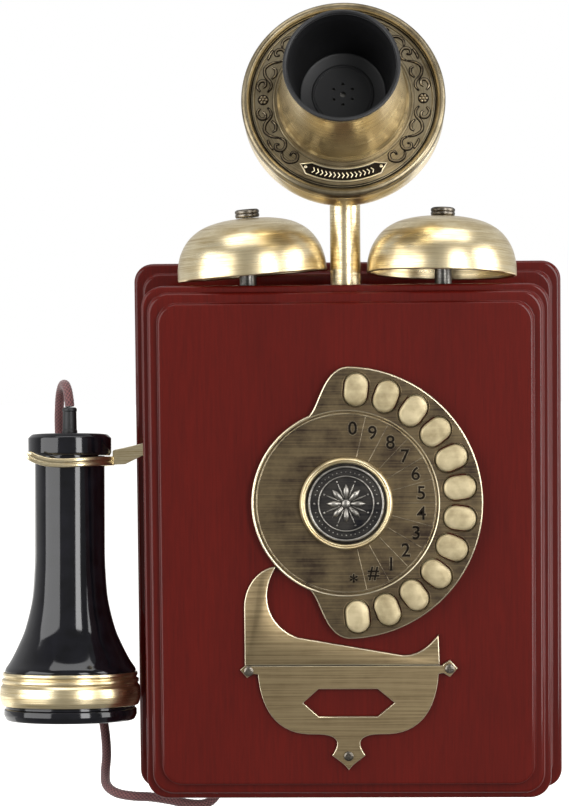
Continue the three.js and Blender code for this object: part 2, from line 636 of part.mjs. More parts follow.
// The transmitter's pieces stand in a frame with its origin on the tilting axis and -Y forward.
function transmitterCup() {
  const wall = CUP_WALL;
  const front = CUP_BACK + CUP_DEPTH;
  const shoulder = CUP_BACK + CUP_SHOULDER;
  const shell = turnedForward([
    [0, CUP_BACK], [CUP_RADIUS - CUP_SHOULDER, CUP_BACK], [CUP_RADIUS - 2.5, CUP_BACK + 1.5],
    [CUP_RADIUS - 0.5, CUP_BACK + 4.5], [CUP_RADIUS, shoulder], [CUP_RADIUS, front],
    [CUP_RADIUS - wall, front], [CUP_RADIUS - wall, shoulder],
    [CUP_RADIUS - wall - 2, CUP_BACK + wall + 1], [CUP_RADIUS - wall - CUP_SHOULDER, CUP_BACK + wall],
    [0, CUP_BACK + wall],
  ], FINE);
  const lugs = [-1, 1].map((side) => {
    const inner = side * (TONGUE_WIDTH / 2 + GAP);
    const outer = inner + side * LUG_WIDTH;
    const x = [Math.min(inner, outer), Math.max(inner, outer)];
    return join(
      block(x, [-CUP_BACK - wall / 2, 0], [-TONGUE_RADIUS, TONGUE_RADIUS]),
      rod('x', TONGUE_RADIUS, x, [0, 0, 0], MEDIUM),
    );
  });
  const span = TONGUE_WIDTH / 2 + LUG_WIDTH + 1;
  return cut(join(shell, ...lugs), rod('x', PIVOT_RADIUS + GAP, [-span, span], [0, 0, 0]));
}

function pivotScrew() {
  const side = TONGUE_WIDTH / 2 + LUG_WIDTH + 2 * GAP;
  return join(
    rod('x', PIVOT_RADIUS, [-side - 1, side + 1], [0, 0, 0]),
    rod('x', PIVOT_RADIUS + 2, [side, side + 3], [0, 0, 0]),
    rod('x', PIVOT_RADIUS + 1.6, [-side - 3, -side], [0, 0, 0], 6),
  );
}

function transmitterRing() {
  const edge = CUP_RADIUS + 0.4;
  const roll = [];
  for (let k = 0; k <= 6; k += 1) {
    const angle = radians(180 - 30 * k);
    roll.push([edge - RIM_ROLL + RIM_ROLL * Math.cos(angle), RING_FACE + RIM_ROLL * Math.sin(angle)]);
  }
  return turnedForward([
    [RING_HOLE, FACE_FORWARD], [edge, FACE_FORWARD], ...roll.reverse(),
    [RING_HOLE, RING_FACE], [RING_HOLE, FACE_FORWARD],
  ], FINE);
}

function mouthpieceCone() {
  const base = RING_FACE + GAP;
  const rim = RING_FACE + CONE_LENGTH;
  return turnedForward([
    [CONE_BASE_RADIUS - CONE_WALL - 1, base], [CONE_BASE_RADIUS, base], [CONE_BASE_RADIUS, base + 1.5],
    [CONE_BASE_RADIUS - 1.4, base + 4], [CONE_RIM_RADIUS - 0.8, rim - 4], [CONE_RIM_RADIUS, rim],
    [CONE_RIM_RADIUS - CONE_WALL, rim], [CONE_BASE_RADIUS - 3.2, base + 4],
    [CONE_BASE_RADIUS - CONE_WALL - 1, base],
  ], FINE);
}

function mouthpieceLiner() {
  const floor = RING_FACE + LINER_FLOOR;
  const rim = RING_FACE + CONE_LENGTH + GAP;
  const outer = CONE_RIM_RADIUS - CONE_WALL - GAP;
  const floorOuter = outer - 3;
  return turnedForward([
    [3, floor - LINER_WALL], [floorOuter, floor - LINER_WALL], [outer - 0.3, rim - 5], [outer, rim],
    [CONE_RIM_RADIUS + 0.2, rim], [CONE_RIM_RADIUS, rim + 1.2], [outer - LINER_WALL + 0.8, rim + 1.2],
    [outer - LINER_WALL, rim - 1], [floorOuter - LINER_WALL, floor], [3, floor], [3, floor - LINER_WALL],
  ], FINE);
}

function microphoneCapsule() {
  const front = RING_FACE + LINER_FLOOR - LINER_WALL - GAP;
  return turnedForward([
    [0, front - CAPSULE_DEPTH], [CAPSULE_RADIUS, front - CAPSULE_DEPTH], [CAPSULE_RADIUS, front - 1],
    [CAPSULE_RADIUS - 2, front], [0, front],
  ], MEDIUM);
}

function addTransmitter(parent) {
  const head = new THREE.Group();
  head.position.set(0, STEM_Y, PIVOT_Z);
  head.rotation.x = -radians(TRANSMITTER_TILT);
  parent.add(head);
  addPart(head, 'transmitter_cup', transmitterCup(), brass);
  addPart(head, 'transmitter_ring', transmitterRing(), brass);
  addPart(head, 'mouthpiece_cone', mouthpieceCone(), brass);
  addPart(head, 'mouthpiece_liner', mouthpieceLiner(), blackMatte);
  addPart(head, 'microphone_capsule', microphoneCapsule(), steel);
  addPart(head, 'pivot_screw', pivotScrew(), steel);
}

// ---- Gongs and ringer ---------------------------------------------------------------------------
// A gong in its own frame: the origin is on top of the dome, on the hole's axis.
function gong() {
  const wall = GONG_WALL;
  const outside = GONG_CURVE.map(([r, z]) => [r * GONG_RADIUS, -z * GONG_HEIGHT]);
  const inside = GONG_CURVE.map(([r, z, out, up]) => [
    r * GONG_RADIUS - wall * out, -z * GONG_HEIGHT - wall * up,
  ]);
  return turned([
    [GONG_HOLE, 0], ...outside, [GONG_RADIUS, -GONG_HEIGHT], [GONG_RADIUS - wall, -GONG_HEIGHT],
    ...inside.reverse(), [GONG_HOLE, -wall], [GONG_HOLE, 0],
  ], FINE);
}

// A closed nut over the post's thread.
function gongNut() {
  const bore = POST_THREAD + 2 * GAP;
  return turned([
    [bore, GAP], [NUT_RADIUS - 0.6, GAP], [NUT_RADIUS, GAP + 0.8], [NUT_RADIUS, GAP + NUT_HEIGHT - 1.2],
    [NUT_RADIUS - 1.2, GAP + NUT_HEIGHT], [0, GAP + NUT_HEIGHT], [0, NUT_HEIGHT - 0.4],
    [bore, NUT_HEIGHT - 0.4], [bore, GAP],
  ], SMALL * 2);
}

function gongPost(x) {
  const shoulder = GONG_TOP_Z - POST_SHOULDER_DROP;
  const axis = [x, STEM_Y, 0];
  return join(
    rod('z', POST_RADIUS, [BODY_TOP + GAP, shoulder], axis),
    rod('z', POST_THREAD, [shoulder - 1, GONG_TOP_Z + 3], axis),
    rod('z', POST_THREAD, [CEILING - 3, BODY_TOP + 1], axis),
  );
}

function addGongs(parent) {
  Object.entries({ left: -1, right: 1 }).forEach(([name, side]) => {
    const tilted = new THREE.Group();
    tilted.position.set(side * GONG_X, STEM_Y, GONG_TOP_Z);
    tilted.rotation.set(-radians(GONG_BACK[name]), side * radians(GONG_LEAN[name]), 0);
    parent.add(tilted);
    addPart(tilted, `gong_${name}`, gong(), brass);
    addPart(tilted, `gong_nut_${name}`, gongNut(), steel);
    addPart(parent, `gong_post_${name}`, gongPost(side * GONG_X), steel);
  });
}

function clapper() {
  const hubRadius = 4;
  const hub = rod('y', hubRadius, [CLAPPER_Y - 8.5, CLAPPER_Y + 8.5], [0, 0, CLAPPER_PIVOT_Z]);
  const rodUp = rod('z', CLAPPER_ROD, [CLAPPER_PIVOT_Z, CLAPPER_BALL_Z], [0, CLAPPER_Y, 0], 8);
  const ball = new THREE.SphereGeometry(CLAPPER_BALL, 12, 8).translate(0, CLAPPER_Y, CLAPPER_BALL_Z);
  const armatureZ = [CLAPPER_PIVOT_Z - 8, CLAPPER_PIVOT_Z - 5];
  const armature = block([-ARMATURE_HALF, ARMATURE_HALF], [CLAPPER_Y - 7, CLAPPER_Y + 7], armatureZ);
  const web = block([-3, 3], [CLAPPER_Y - 7, CLAPPER_Y + 7], [armatureZ[1] - 1, CLAPPER_PIVOT_Z]);
  const pin = rod('y', 1.5, [CLAPPER_Y - 13, CLAPPER_Y + 11], [0, 0, CLAPPER_PIVOT_Z], 8);
  return join(hub, rodUp, solid(ball), armature, web, pin);
}

function ringerFrame() {
  const front = CLAPPER_Y - COIL_RADIUS - 3.5;
  const yoke = block([-24, 24], [front, BODY_BACK - GAP], [YOKE_Z, YOKE_Z + YOKE_THICK]);
  const rear = BODY_BACK - GAP;
  const rearPlate = block([-24, 24], [rear - YOKE_THICK, rear], [YOKE_Z, CLAPPER_PIVOT_Z + 8]);
  const frontTab = block([-4, 4], [front, front + 1.8], [YOKE_Z, CLAPPER_PIVOT_Z + 5]);
  const bearing = rod('y', 1.5 + GAP, [front - 1, BODY_BACK + 1], [0, 0, CLAPPER_PIVOT_Z], 8);
  return cut(join(yoke, rearPlate, frontTab), bearing);
}

function ringerCoil(side) {
  const bottom = YOKE_Z + YOKE_THICK + GAP;
  const top = CLAPPER_PIVOT_Z - 8 - ARMATURE_HALF * Math.sin(radians(CLAPPER_SWING)) - 3 * GAP;
  const flange = 1.5;
  const waist = COIL_RADIUS - 1.2;
  return turned([
    [0, bottom], [COIL_RADIUS, bottom], [COIL_RADIUS, bottom + flange], [waist, bottom + flange],
    [waist, top - flange], [COIL_RADIUS, top - flange], [COIL_RADIUS, top], [0, top],
  ], SMALL * 2).translate([side * COIL_X, CLAPPER_Y, 0]);
}

// ---- Fork that carries the receiver -------------------------------------------------------------
// A prong runs from the lever's end round the neck and forward to a raised tip.
function prong(side) {
  const radius = NECK_RADIUS + FORK_CLEAR + FORK_WIRE;
  const slope = Math.tan(radians(HANG_TILT));
  const low = HANG[2] - FORK_WIRE - 1.8;
  const spot = (dx, dy, z) => [HANG[0] + dx, HANG[1] + side * dy, z - side * dy * slope];
  const points = [0, 22.5, 45, 67.5, 90].map((degrees) => {
    const angle = radians(degrees);
    return spot(radius * Math.cos(angle), radius * Math.sin(angle), low + 1.2 * Math.cos(angle));
  });
  points.push(spot(-8, radius + 0.2, low + 0.4), spot(-15, radius + 0.4, low + 2.2));
  points.push(spot(-FORK_REACH, radius + 0.5, low + 5));
  return tube(points, FORK_WIRE, CORD_SIDES, 14);
}

function hookLever() {
  const flangeEdge = HANG[0] + FLANGE_RADIUS + 0.8;
  const end = flangeEdge - 2.2;
  const under = HANG[2] - 0.6;
  const [pivotX, pivotZ] = HOOK_PIVOT;
  const outline = new THREE.Shape();
  outline.moveTo(end, under - 4.4);
  outline.lineTo(end + 9, under - 4);
  outline.lineTo(end + 19, pivotZ - 5.6);
  outline.lineTo(pivotX - 8, pivotZ - 4);
  outline.lineTo(pivotX + 20, pivotZ - 3.4);
  outline.lineTo(pivotX + 20, pivotZ - 0.4);
  outline.lineTo(pivotX + 6, pivotZ + 4.6);
  outline.lineTo(pivotX - 8, pivotZ + 4.6);
  outline.lineTo(end + 19, pivotZ + 0.6);
  outline.lineTo(end + 9, under + 4.8);
  outline.lineTo(flangeEdge, under + 3.4);
  outline.lineTo(flangeEdge, under);
  outline.lineTo(end, under);
  const half = LEVER_THICK / 2;
  const strap = plate(outline, HANG[1] + half, HANG[1] - half);
  const hole = rod('y', HOOK_PIN + GAP, [HANG[1] - 9, HANG[1] + 9], [pivotX, 0, pivotZ]);
  return cut(join(strap, prong(-1), prong(1)), hole);
}

function hookBracket() {
  const [pivotX, pivotZ] = HOOK_PIVOT;
  const rear = -(BODY_SIDE - BODY_WALL) + GAP;
  const channel = LEVER_THICK / 2 + SLIDE_GAP;
  const outer = channel + BRACKET_SHEET;
  const y = HANG[1];
  const body = block([rear, pivotX + 6], [y - outer, y + outer], [pivotZ - 15, pivotZ + 8]);
  return cut(
    body,
    block([rear + BRACKET_SHEET, pivotX + 7], [y - channel, y + channel], [pivotZ - 16, pivotZ + 9]),
    block([rear - 1, pivotX + 7], [y - channel, y + channel], [pivotZ - 8.4, pivotZ + 9]),
    rod('y', HOOK_PIN + GAP, [y - outer - 1, y + outer + 1], [pivotX, 0, pivotZ]),
  );
}

function hookPin() {
  const reach = LEVER_THICK / 2 + SLIDE_GAP + BRACKET_SHEET;
  const [x, z] = HOOK_PIVOT;
  const y = HANG[1];
  return join(
    rod('y', HOOK_PIN, [y - reach - 1.5, y + reach + 1.5], [x, 0, z]),
    rod('y', HOOK_PIN + 1.2, [y - reach - 1.5 - GAP, y - reach - GAP], [x, 0, z]),
  );
}

function hookSwitch() {
  const [pivotX, pivotZ] = HOOK_PIVOT;
  const top = pivotZ - 6.6;
  const y = HANG[1];
  const body = block([pivotX + 10, pivotX + 24], [y - 4, y + 4], [top - 11, top]);
  const arm = block([pivotX + 13, pivotX + 21], [y, BODY_BACK - GAP], [top - 9, top - 3]);
  return join(body, arm);
}

// ---- Receiver, in its own frame: the origin is under the flange and Z runs along its axis -------
function receiverBody() {
  const seat = -(BODY_LENGTH - BAND_HEIGHT);
  const wall = SHELL_WALL;
  const flare = FLARE.map(([out, down]) => [
    NECK_RADIUS + out * (BELL_RADIUS - NECK_RADIUS), -down * BODY_LENGTH,
  ]);
  const inner = flare.slice(0, -1).map(([r, z]) => [r - wall - GAP, z]).reverse();
  const seatRadius = BELL_RADIUS - 0.6;
  return turned([
    [NECK_RADIUS, -GAP], ...flare, [BELL_RADIUS, seat], [seatRadius, seat - 0.2], [seatRadius, -BODY_LENGTH],
    [seatRadius - wall, -BODY_LENGTH], [seatRadius - wall, seat], ...inner, [NECK_RADIUS - wall, -GAP],
    [NECK_RADIUS, -GAP],
  ], FINE);
}

function receiverCap() {
  const spigot = NECK_RADIUS - SHELL_WALL - GAP;
  const hole = 3;
  return turned([
    [hole, -8], [spigot, -8], [spigot, -GAP], [spigot, 0], [FLANGE_RADIUS - 1, 0], [FLANGE_RADIUS, 1],
    [FLANGE_RADIUS, CAP_HEIGHT - 2.6], [FLANGE_RADIUS - 0.8, CAP_HEIGHT - 0.9],
    [FLANGE_RADIUS - 2.6, CAP_HEIGHT], [hole, CAP_HEIGHT], [hole, -8],
  ], FINE);
}

function receiverBand() {
  const top = -(BODY_LENGTH - BAND_HEIGHT) - 2 * GAP;
  const inner = BELL_RADIUS - GAP;
  const bottom = -BODY_LENGTH + GAP;
  return turned([
    [inner, top], [BELL_RADIUS + 0.6, top], [BELL_RADIUS + 0.6, top - 2.8], [BELL_RADIUS + 1.4, top - 3],
    [BELL_RADIUS + 1.4, top - 5.8], [BAND_RADIUS - 0.6, top - 6], [BAND_RADIUS, top - 9],
    [BAND_RADIUS, bottom + 5], [BAND_RADIUS - 0.9, bottom], [inner, bottom], [inner, top],
  ], FINE);
}

function earCap() {
  const top = -BODY_LENGTH - GAP;
  const bottom = top - EAR_CAP_HEIGHT;
  const spigot = BELL_RADIUS - 0.6 - SHELL_WALL - GAP;
  const hole = 3;
  const floor = bottom + EAR_DISH_DEPTH;
  return turned([
    [hole, top + 1], [spigot - 3, top + 1], [spigot - 3, top + 5], [spigot, top + 5], [spigot, top],
    [EAR_CAP_RADIUS - 0.6, top], [EAR_CAP_RADIUS, top - 0.8], [EAR_CAP_RADIUS, bottom + 2.4],
    [EAR_CAP_RADIUS - 1.8, bottom], [EAR_DISH_RADIUS + 4, bottom], [EAR_DISH_RADIUS, floor], [hole, floor],
    [hole, top + 1],
  ], FINE);
}

function receiverCapsule() {
  const bottom = -BODY_LENGTH - GAP + 5 + GAP;
  return turned([
    [0, bottom], [26, bottom], [26, bottom + 7], [22, bottom + 11], [0, bottom + 11],
  ], MEDIUM);
}

function cordSleeve() {
  const seat = CAP_HEIGHT + GAP;
  const top = seat + SLEEVE_LENGTH;
  return turned([
    [0, -2], [3 - GAP, -2], [3 - GAP, seat], [SLEEVE_RADIUS, seat], [SLEEVE_RADIUS, top - 4],
    [CORD_RADIUS + 0.7, top], [0, top],
  ], SMALL);
}

function addReceiver(parent) {
  const receiver = new THREE.Group();
  receiver.position.set(...HANG);
  receiver.rotation.x = -radians(HANG_TILT);
  parent.add(receiver);
  addPart(receiver, 'handset_body', receiverBody(), blackGloss);
  addPart(receiver, 'handset_cap', receiverCap(), blackGloss);
  addPart(receiver, 'handset_band', receiverBand(), brass);
  addPart(receiver, 'handset_ear_cap', earCap(), blackGloss);
  addPart(receiver, 'receiver_capsule', receiverCapsule(), steel);
  addPart(receiver, 'cord_sleeve', cordSleeve(), blackMatte);
}

// ---- Cord: a loop above the receiver, a straight hang behind it and a bend up into the box ------
const CORD_UPPER = [
  [-148.5, -47.2, 69.7], [-148.9, -46.5, 73.5], [-149.9, -44, 78], [-151.6, -39.4, 80.9],
  [-153.6, -33.8, 80.4], [-155.3, -29.2, 76.8], [-156.4, -26.4, 70.6], [-157.2, -23.6, 59.4],
  [-157, -21.4, 44], [-156, -20.2, 28], [-154.6, -19.6, 12], [-153, -19.4, -3.8],
];
const CORD_LOWER = [
  [-153, -19.4, -4.1], [-151.2, -19.3, -22], [-148.6, -19.2, -42], [-144.8, -19.2, -62],
  [-140.8, -19.8, -80], [-137, -22.4, -96], [-134, -28, -109.6], [-132.4, -36.4, -120.6],
  [-132.2, -46, -128.6], [-130.6, -55.6, -133.6], [-124.8, -62.8, -136.4], [-116, -65.6, -137.6],
  [-106, -64.6, -138.4], [-96.6, -62.2, -140.4], [-88.2, -60.4, -142.6], [-80.4, -60, -143.4],
  [-75.4, -60, -142.2], [-71.7, -60, -138.7], [-70.1, -60, -134.2], [-70, -60, -129.7],
];

function cordGland() {
  const board = -BODY_TOP;
  const nose = board - GLAND_NOSE;
  return turned([
    [0, board + 6], [GLAND_HOLE - GAP, board + 6], [GLAND_HOLE - GAP, board - GAP], [6, board - GAP],
    [6, board - 2], [4.4, board - 2.4], [CORD_RADIUS + 0.8, nose], [0, nose],
  ], SMALL).translate([...GLAND, 0]);
}

// ---- Electrical pieces in the box ---------------------------------------------------------------
function circuitBoard() {
  const rear = BODY_BACK - GAP;
  const face = rear - 10;
  const parts = [
    block([-60, 60], [face, face + 1.6], [-100, -20]),
    block([-50, -24], [face + 0.5, face - 18], [-60, -34]),
    block([8, 30], [face + 0.5, face - 6], [-58, -50]),
    rod('y', 5, [face + 0.5, face - 14], [-8, 0, -80]),
    rod('y', 4, [face + 0.5, face - 11], [14, 0, -82]),
  ];
  [-54, 54].forEach((x) => [-94, -26].forEach((z) => {
    parts.push(rod('y', 3, [rear, face + 0.5], [x, 0, z]));
  }));
  return join(...parts);
}

function lineJack() {
  const [x, y] = JACK;
  const [width, depth, height] = JACK_SIZE;
  const [mouthX, mouthY, mouthZ] = JACK_MOUTH;
  const bottom = -BODY_TOP + GAP;
  const body = block(
    [x - width / 2, x + width / 2], [y - depth / 2, y + depth / 2], [bottom, bottom + height],
  );
  const mouth = block(
    [x - mouthX / 2, x + mouthX / 2], [y - mouthY / 2, y + mouthY / 2], [bottom - 1, bottom + mouthZ],
  );
  return cut(body, mouth);
}

// ---- Assembly -----------------------------------------------------------------------------------
const telephone = new THREE.Group();
addPart(telephone, 'back_board', backBoard(), wood);
addPart(telephone, 'hanger_plate', hangerPlate(), steel);
addPart(telephone, 'side_board_left', leftBoard(), wood);
addPart(telephone, 'side_board_right', sideBoard(1), wood);
addPart(telephone, 'top_board', topBoard(), wood);
addPart(telephone, 'bottom_board', bottomBoard(), wood);
addPart(telephone, 'front_panel', frontPanel(), wood);
addPart(telephone, 'dial_plate', dialPlate(), bronze);
addPart(telephone, 'dial_bezel', bezel(), brass);
addPart(telephone, 'dial_medallion', medallion(), pewter);
addButtons(telephone);
addPart(telephone, 'keypad_board', keypadBoard(), green);
addPart(telephone, 'crest_plate', crestPlate(), brass);
addPart(telephone, 'window_plate', windowPlate(), brass);
Object.entries(SCREW_SPOTS).forEach(([name, spot]) => {
  addPart(telephone, `plate_screw_${name}`, plateScrew(spot), brass);
});
addPart(telephone, 'stem', stem(), brass);
addTransmitter(telephone);
addGongs(telephone);
addPart(telephone, 'clapper', clapper(), steel);
addPart(telephone, 'ringer_frame', ringerFrame(), steel);
addPart(telephone, 'ringer_coil_left', ringerCoil(-1), copper);
addPart(telephone, 'ringer_coil_right', ringerCoil(1), copper);
addPart(telephone, 'hook_lever', hookLever(), brass);
addPart(telephone, 'hook_bracket', hookBracket(), steel);
addPart(telephone, 'hook_pin', hookPin(), steel);
addPart(telephone, 'hook_switch', hookSwitch(), blackMatte);
addReceiver(telephone);
addPart(telephone, 'handset_cord_upper', tube(CORD_UPPER, CORD_RADIUS, CORD_SIDES, 14), braid);
addPart(telephone, 'handset_cord_lower', tube(CORD_LOWER, CORD_RADIUS, CORD_SIDES, 30), braid);
addPart(telephone, 'cord_gland', cordGland(), blackMatte);
addPart(telephone, 'circuit_board', circuitBoard(), green);
addPart(telephone, 'line_jack', lineJack(), blackMatte);

export default telephone;
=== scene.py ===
import json
from math import atan2, cos, pi, radians, sin, tan

import bmesh
import bpy
from bpy.props import FloatProperty, FloatVectorProperty, IntProperty, PointerProperty
from mathutils import Matrix, Vector


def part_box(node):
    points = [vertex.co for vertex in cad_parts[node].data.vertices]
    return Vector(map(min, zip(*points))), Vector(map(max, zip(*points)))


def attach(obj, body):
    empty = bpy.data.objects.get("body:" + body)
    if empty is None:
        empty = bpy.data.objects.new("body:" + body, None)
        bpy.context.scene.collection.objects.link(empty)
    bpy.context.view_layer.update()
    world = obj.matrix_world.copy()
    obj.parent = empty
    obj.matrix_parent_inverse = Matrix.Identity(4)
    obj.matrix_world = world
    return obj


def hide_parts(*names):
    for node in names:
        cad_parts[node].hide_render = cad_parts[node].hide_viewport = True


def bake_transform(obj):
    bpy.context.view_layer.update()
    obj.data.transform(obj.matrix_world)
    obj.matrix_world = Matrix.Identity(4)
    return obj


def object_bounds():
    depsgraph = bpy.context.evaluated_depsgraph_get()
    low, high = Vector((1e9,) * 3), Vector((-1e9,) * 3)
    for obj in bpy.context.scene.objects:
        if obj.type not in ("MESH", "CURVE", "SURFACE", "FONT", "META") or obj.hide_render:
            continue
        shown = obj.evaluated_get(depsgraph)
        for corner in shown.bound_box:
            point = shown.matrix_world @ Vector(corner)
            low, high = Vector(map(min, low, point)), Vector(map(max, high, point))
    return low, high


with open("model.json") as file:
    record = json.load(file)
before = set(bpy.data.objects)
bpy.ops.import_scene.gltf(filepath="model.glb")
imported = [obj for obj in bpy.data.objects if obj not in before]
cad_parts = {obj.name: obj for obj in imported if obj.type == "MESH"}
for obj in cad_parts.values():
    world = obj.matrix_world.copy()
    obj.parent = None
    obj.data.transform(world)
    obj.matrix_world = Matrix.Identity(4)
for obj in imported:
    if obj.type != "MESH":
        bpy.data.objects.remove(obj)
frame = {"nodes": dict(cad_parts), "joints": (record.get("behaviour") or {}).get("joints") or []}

bl_info = {
    "name": "Wall telephone",
    "version": (1, 0, 0),
    "blender": (4, 5, 0),
    "location": "View3D > Sidebar > Telephone",
    "description": "Dresses the frame of a wooden wall telephone with finished pieces",
    "category": "Object",
}

CAD_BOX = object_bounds()
MM = 0.001

# ---- Sizes in millimetres that the frame doesn't give -----------------------------------------
GAP = 0.3                      # between two pieces that touch
HEAD_TILT = radians(17)        # how far the transmitter looks up
HANG = Vector((-148.5, -50, 43.5))      # middle of the receiver's flange, underneath
HANG_TILT = radians(6)         # how far the receiver's lower end stands forward
GONG_LEAN = {"left": (4.5, 1.8), "right": (1.7, 5.5)}    # degrees outwards and towards the wall
GONG_X = 51.5
GONG_TOP = 169.5
DIAL_RADIUS = 70.5
DIAL_LEFT_RADIUS = 49
DIAL_NECK = 22.5               # degrees from the vertical to the end of the left circle
DIAL_THICK = 5
SEAM = -62.4                   # height of the joint between the two ornamental plates
PLATE_THICK = 2.5
CORD_ROUTE = [
    (-148.5, -47.2, 69.7), (-148.9, -46.5, 73.5), (-149.9, -44, 78), (-151.6, -39.4, 80.9),
    (-153.6, -33.8, 80.4), (-155.3, -29.2, 76.8), (-156.4, -26.4, 70.6), (-157.2, -23.6, 59.4),
    (-157, -21.4, 44), (-156, -20.2, 28), (-154.6, -19.6, 12), (-153, -19.4, -4),
    (-151.2, -19.3, -22), (-148.6, -19.2, -42), (-144.8, -19.2, -62), (-140.8, -19.8, -80),
    (-137, -22.4, -96), (-134, -28, -109.6), (-132.4, -36.4, -120.6), (-132.2, -46, -128.6),
    (-130.6, -55.6, -133.6), (-124.8, -62.8, -136.4), (-116, -65.6, -137.6), (-106, -64.6, -138.4),
    (-96.6, -62.2, -140.4), (-88.2, -60.4, -142.6), (-80.4, -60, -143.4), (-75.4, -60, -142.2),
    (-71.7, -60, -138.7), (-70.1, -60, -134.2), (-70, -60, -129.7),
]

# ---- Fineness ---------------------------------------------------------------------------------
FINE = 128                     # sides of a large turned piece
MEDIUM = 72
SMALL = 32
EASE_STEPS = 5                 # points in a rounded corner
CURVE_STEPS = 14               # points along a bezier


def linear(code):
    """A colour written as #rrggbb in sRGB, as linear red, green, blue and alpha."""
    shares = [int(code[k:k + 2], 16) / 255 for k in (1, 3, 5)]
    return (*(c / 12.92 if c <= 0.04045 else ((c + 0.055) / 1.055) ** 2.4 for c in shares), 1)


def colour_property(name, code, description):
    return FloatVectorProperty(name=name, description=description, subtype="COLOR", size=4,
                               min=0, max=1, default=linear(code))


def length_property(name, millimetres, description):
    return FloatProperty(name=name, description=description, default=millimetres * MM,
                         unit="LENGTH", precision=4)


class TelephoneWood(bpy.types.PropertyGroup):
    stain: colour_property("Stain", "#561009", "Colour of the stained wood between the pores")
    deep: colour_property("Deep stain", "#4c0e08", "Colour of the darker grain")
    pore: colour_property("Pores", "#240605", "Colour of the filled pores")
    grain: length_property("Grain width", 1.3, "Width of one streak of grain")
    ease: length_property("Eased edge", 0.9, "Radius of the sanded edges of the boards")


class TelephoneMetal(bpy.types.PropertyGroup):
    brass: colour_property("Brass", "#f3e5c0", "Rubbed highlights of the antique brass")
    brass_dark: colour_property("Brass patina", "#bda677", "Patina of the antique brass")
    sheet: colour_property("Sheet brass", "#a5926f", "Rubbed highlights of the flat plates")
    sheet_dark: colour_property("Sheet patina", "#77664b", "Patina of the flat plates")
    bronze: colour_property("Bronze", "#78694f", "Rubbed highlights of the dial")
    bronze_dark: colour_property("Bronze patina", "#3a3029", "Patina of the dial")
    cream: colour_property("Pale brass", "#c3b48f", "Colour of the button caps")
    cream_dark: colour_property("Pale brass shade", "#8c7d5b", "Shaded tone of the button caps")
    worn: colour_property("Worn edge", "#cfc4ac", "Edges rubbed bright")
    rubbed: colour_property("Rubbed relief", "#9c8f76", "Raised lines rubbed half bright")
    tarnish: colour_property("Tarnish", "#2c2620", "Ground round the relief, left to darken")
    ring: colour_property("Ring", "#a0947a", "Rubbed face of the transmitter's ring")
    ring_dark: colour_property("Ring patina", "#5d523e", "Patina of the transmitter's ring")
    pewter: colour_property("Pewter", "#b0aca4", "Relief of the medallion")
    pewter_dark: colour_property("Pewter ground", "#46433f", "Ground of the medallion")
    steel: colour_property("Steel", "#8f8c86", "Plated steel")
    ease: length_property("Plate edge", 0.6, "Width of the bright bevel round the plates")


class TelephoneDial(bpy.types.PropertyGroup):
    digit_height: length_property("Digit height", 7.2, "Height of the raised digits")
    digit_circle: length_property("Digit circle", 39, "Radius on which the digits stand")
    relief: length_property("Relief", 0.45, "Height of the digits above the dial")
    line: length_property("Dividing line", 0.24, "Radius of the raised lines between the digits")


class TelephoneCord(bpy.types.PropertyGroup):
    diameter: length_property("Diameter", 5.2, "Outside diameter of the braided cord")
    braid: length_property("Braid pitch", 2.1, "Length of one crossing of the braid")
    strands: IntProperty(name="Strands", description="Strands seen round the cord", default=8)
    thread: colour_property("Thread", "#84504f", "Colour of the braid")
    # Painted shade: this colour is painted into the low parts between the strands.
    shade: colour_property("Shade", "#250f12", "Colour between the strands")


class TelephoneStage(bpy.types.PropertyGroup):
    floor: colour_property("Floor", "#f4f3f1", "Colour of the floor")
    drop: length_property("Floor drop", 190, "Height of the phone's lower edge above the floor")
    lens: FloatProperty(name="Lens", description="Focal length in millimetres", default=172)


# ---- Materials --------------------------------------------------------------------------------
def add_node(tree, kind, settings=None, inputs=None):
    """Adds a node, sets its properties and colour stops, and sets or links its named inputs."""
    node = tree.nodes.new(kind)
    for name, value in (settings or {}).items():
        if name == "stops":
            stops = node.color_ramp.elements
            while len(stops) < len(value):
                stops.new(0.5)
            for stop, (place, colour) in zip(stops, value):
                stop.position = place
                stop.color = colour
        else:
            setattr(node, name, value)
    for name, value in (inputs or {}).items():
        if isinstance(value, bpy.types.NodeSocket):
            tree.links.new(value, node.inputs[name])
        else:
            node.inputs[name].default_value = value
    return node


def grey(share):
    return (share, share, share, 1)


def begin_material(name, **constants):
    """A material with a principled shader whose named sockets hold constants."""
    material = bpy.data.materials.new(name)
    material.use_nodes = True
    tree = material.node_tree
    shader = tree.nodes["Principled BSDF"]
    for socket, value in constants.items():
        shader.inputs[socket.replace("_", " ")].default_value = value
    return material, tree, shader


def finish(name, maker, *values):
    """The named material, made the first time that it is asked for."""
    return bpy.data.materials.get(name) or maker(name, *values)


def relief(tree, shader, height, strength, depth):
    """Gives the shader a bump from a height socket; the depth is in millimetres."""
    bump = add_node(tree, "ShaderNodeBump", inputs={
        "Height": height, "Strength": strength, "Distance": depth * MM})
    tree.links.new(bump.outputs[0], shader.inputs["Normal"])


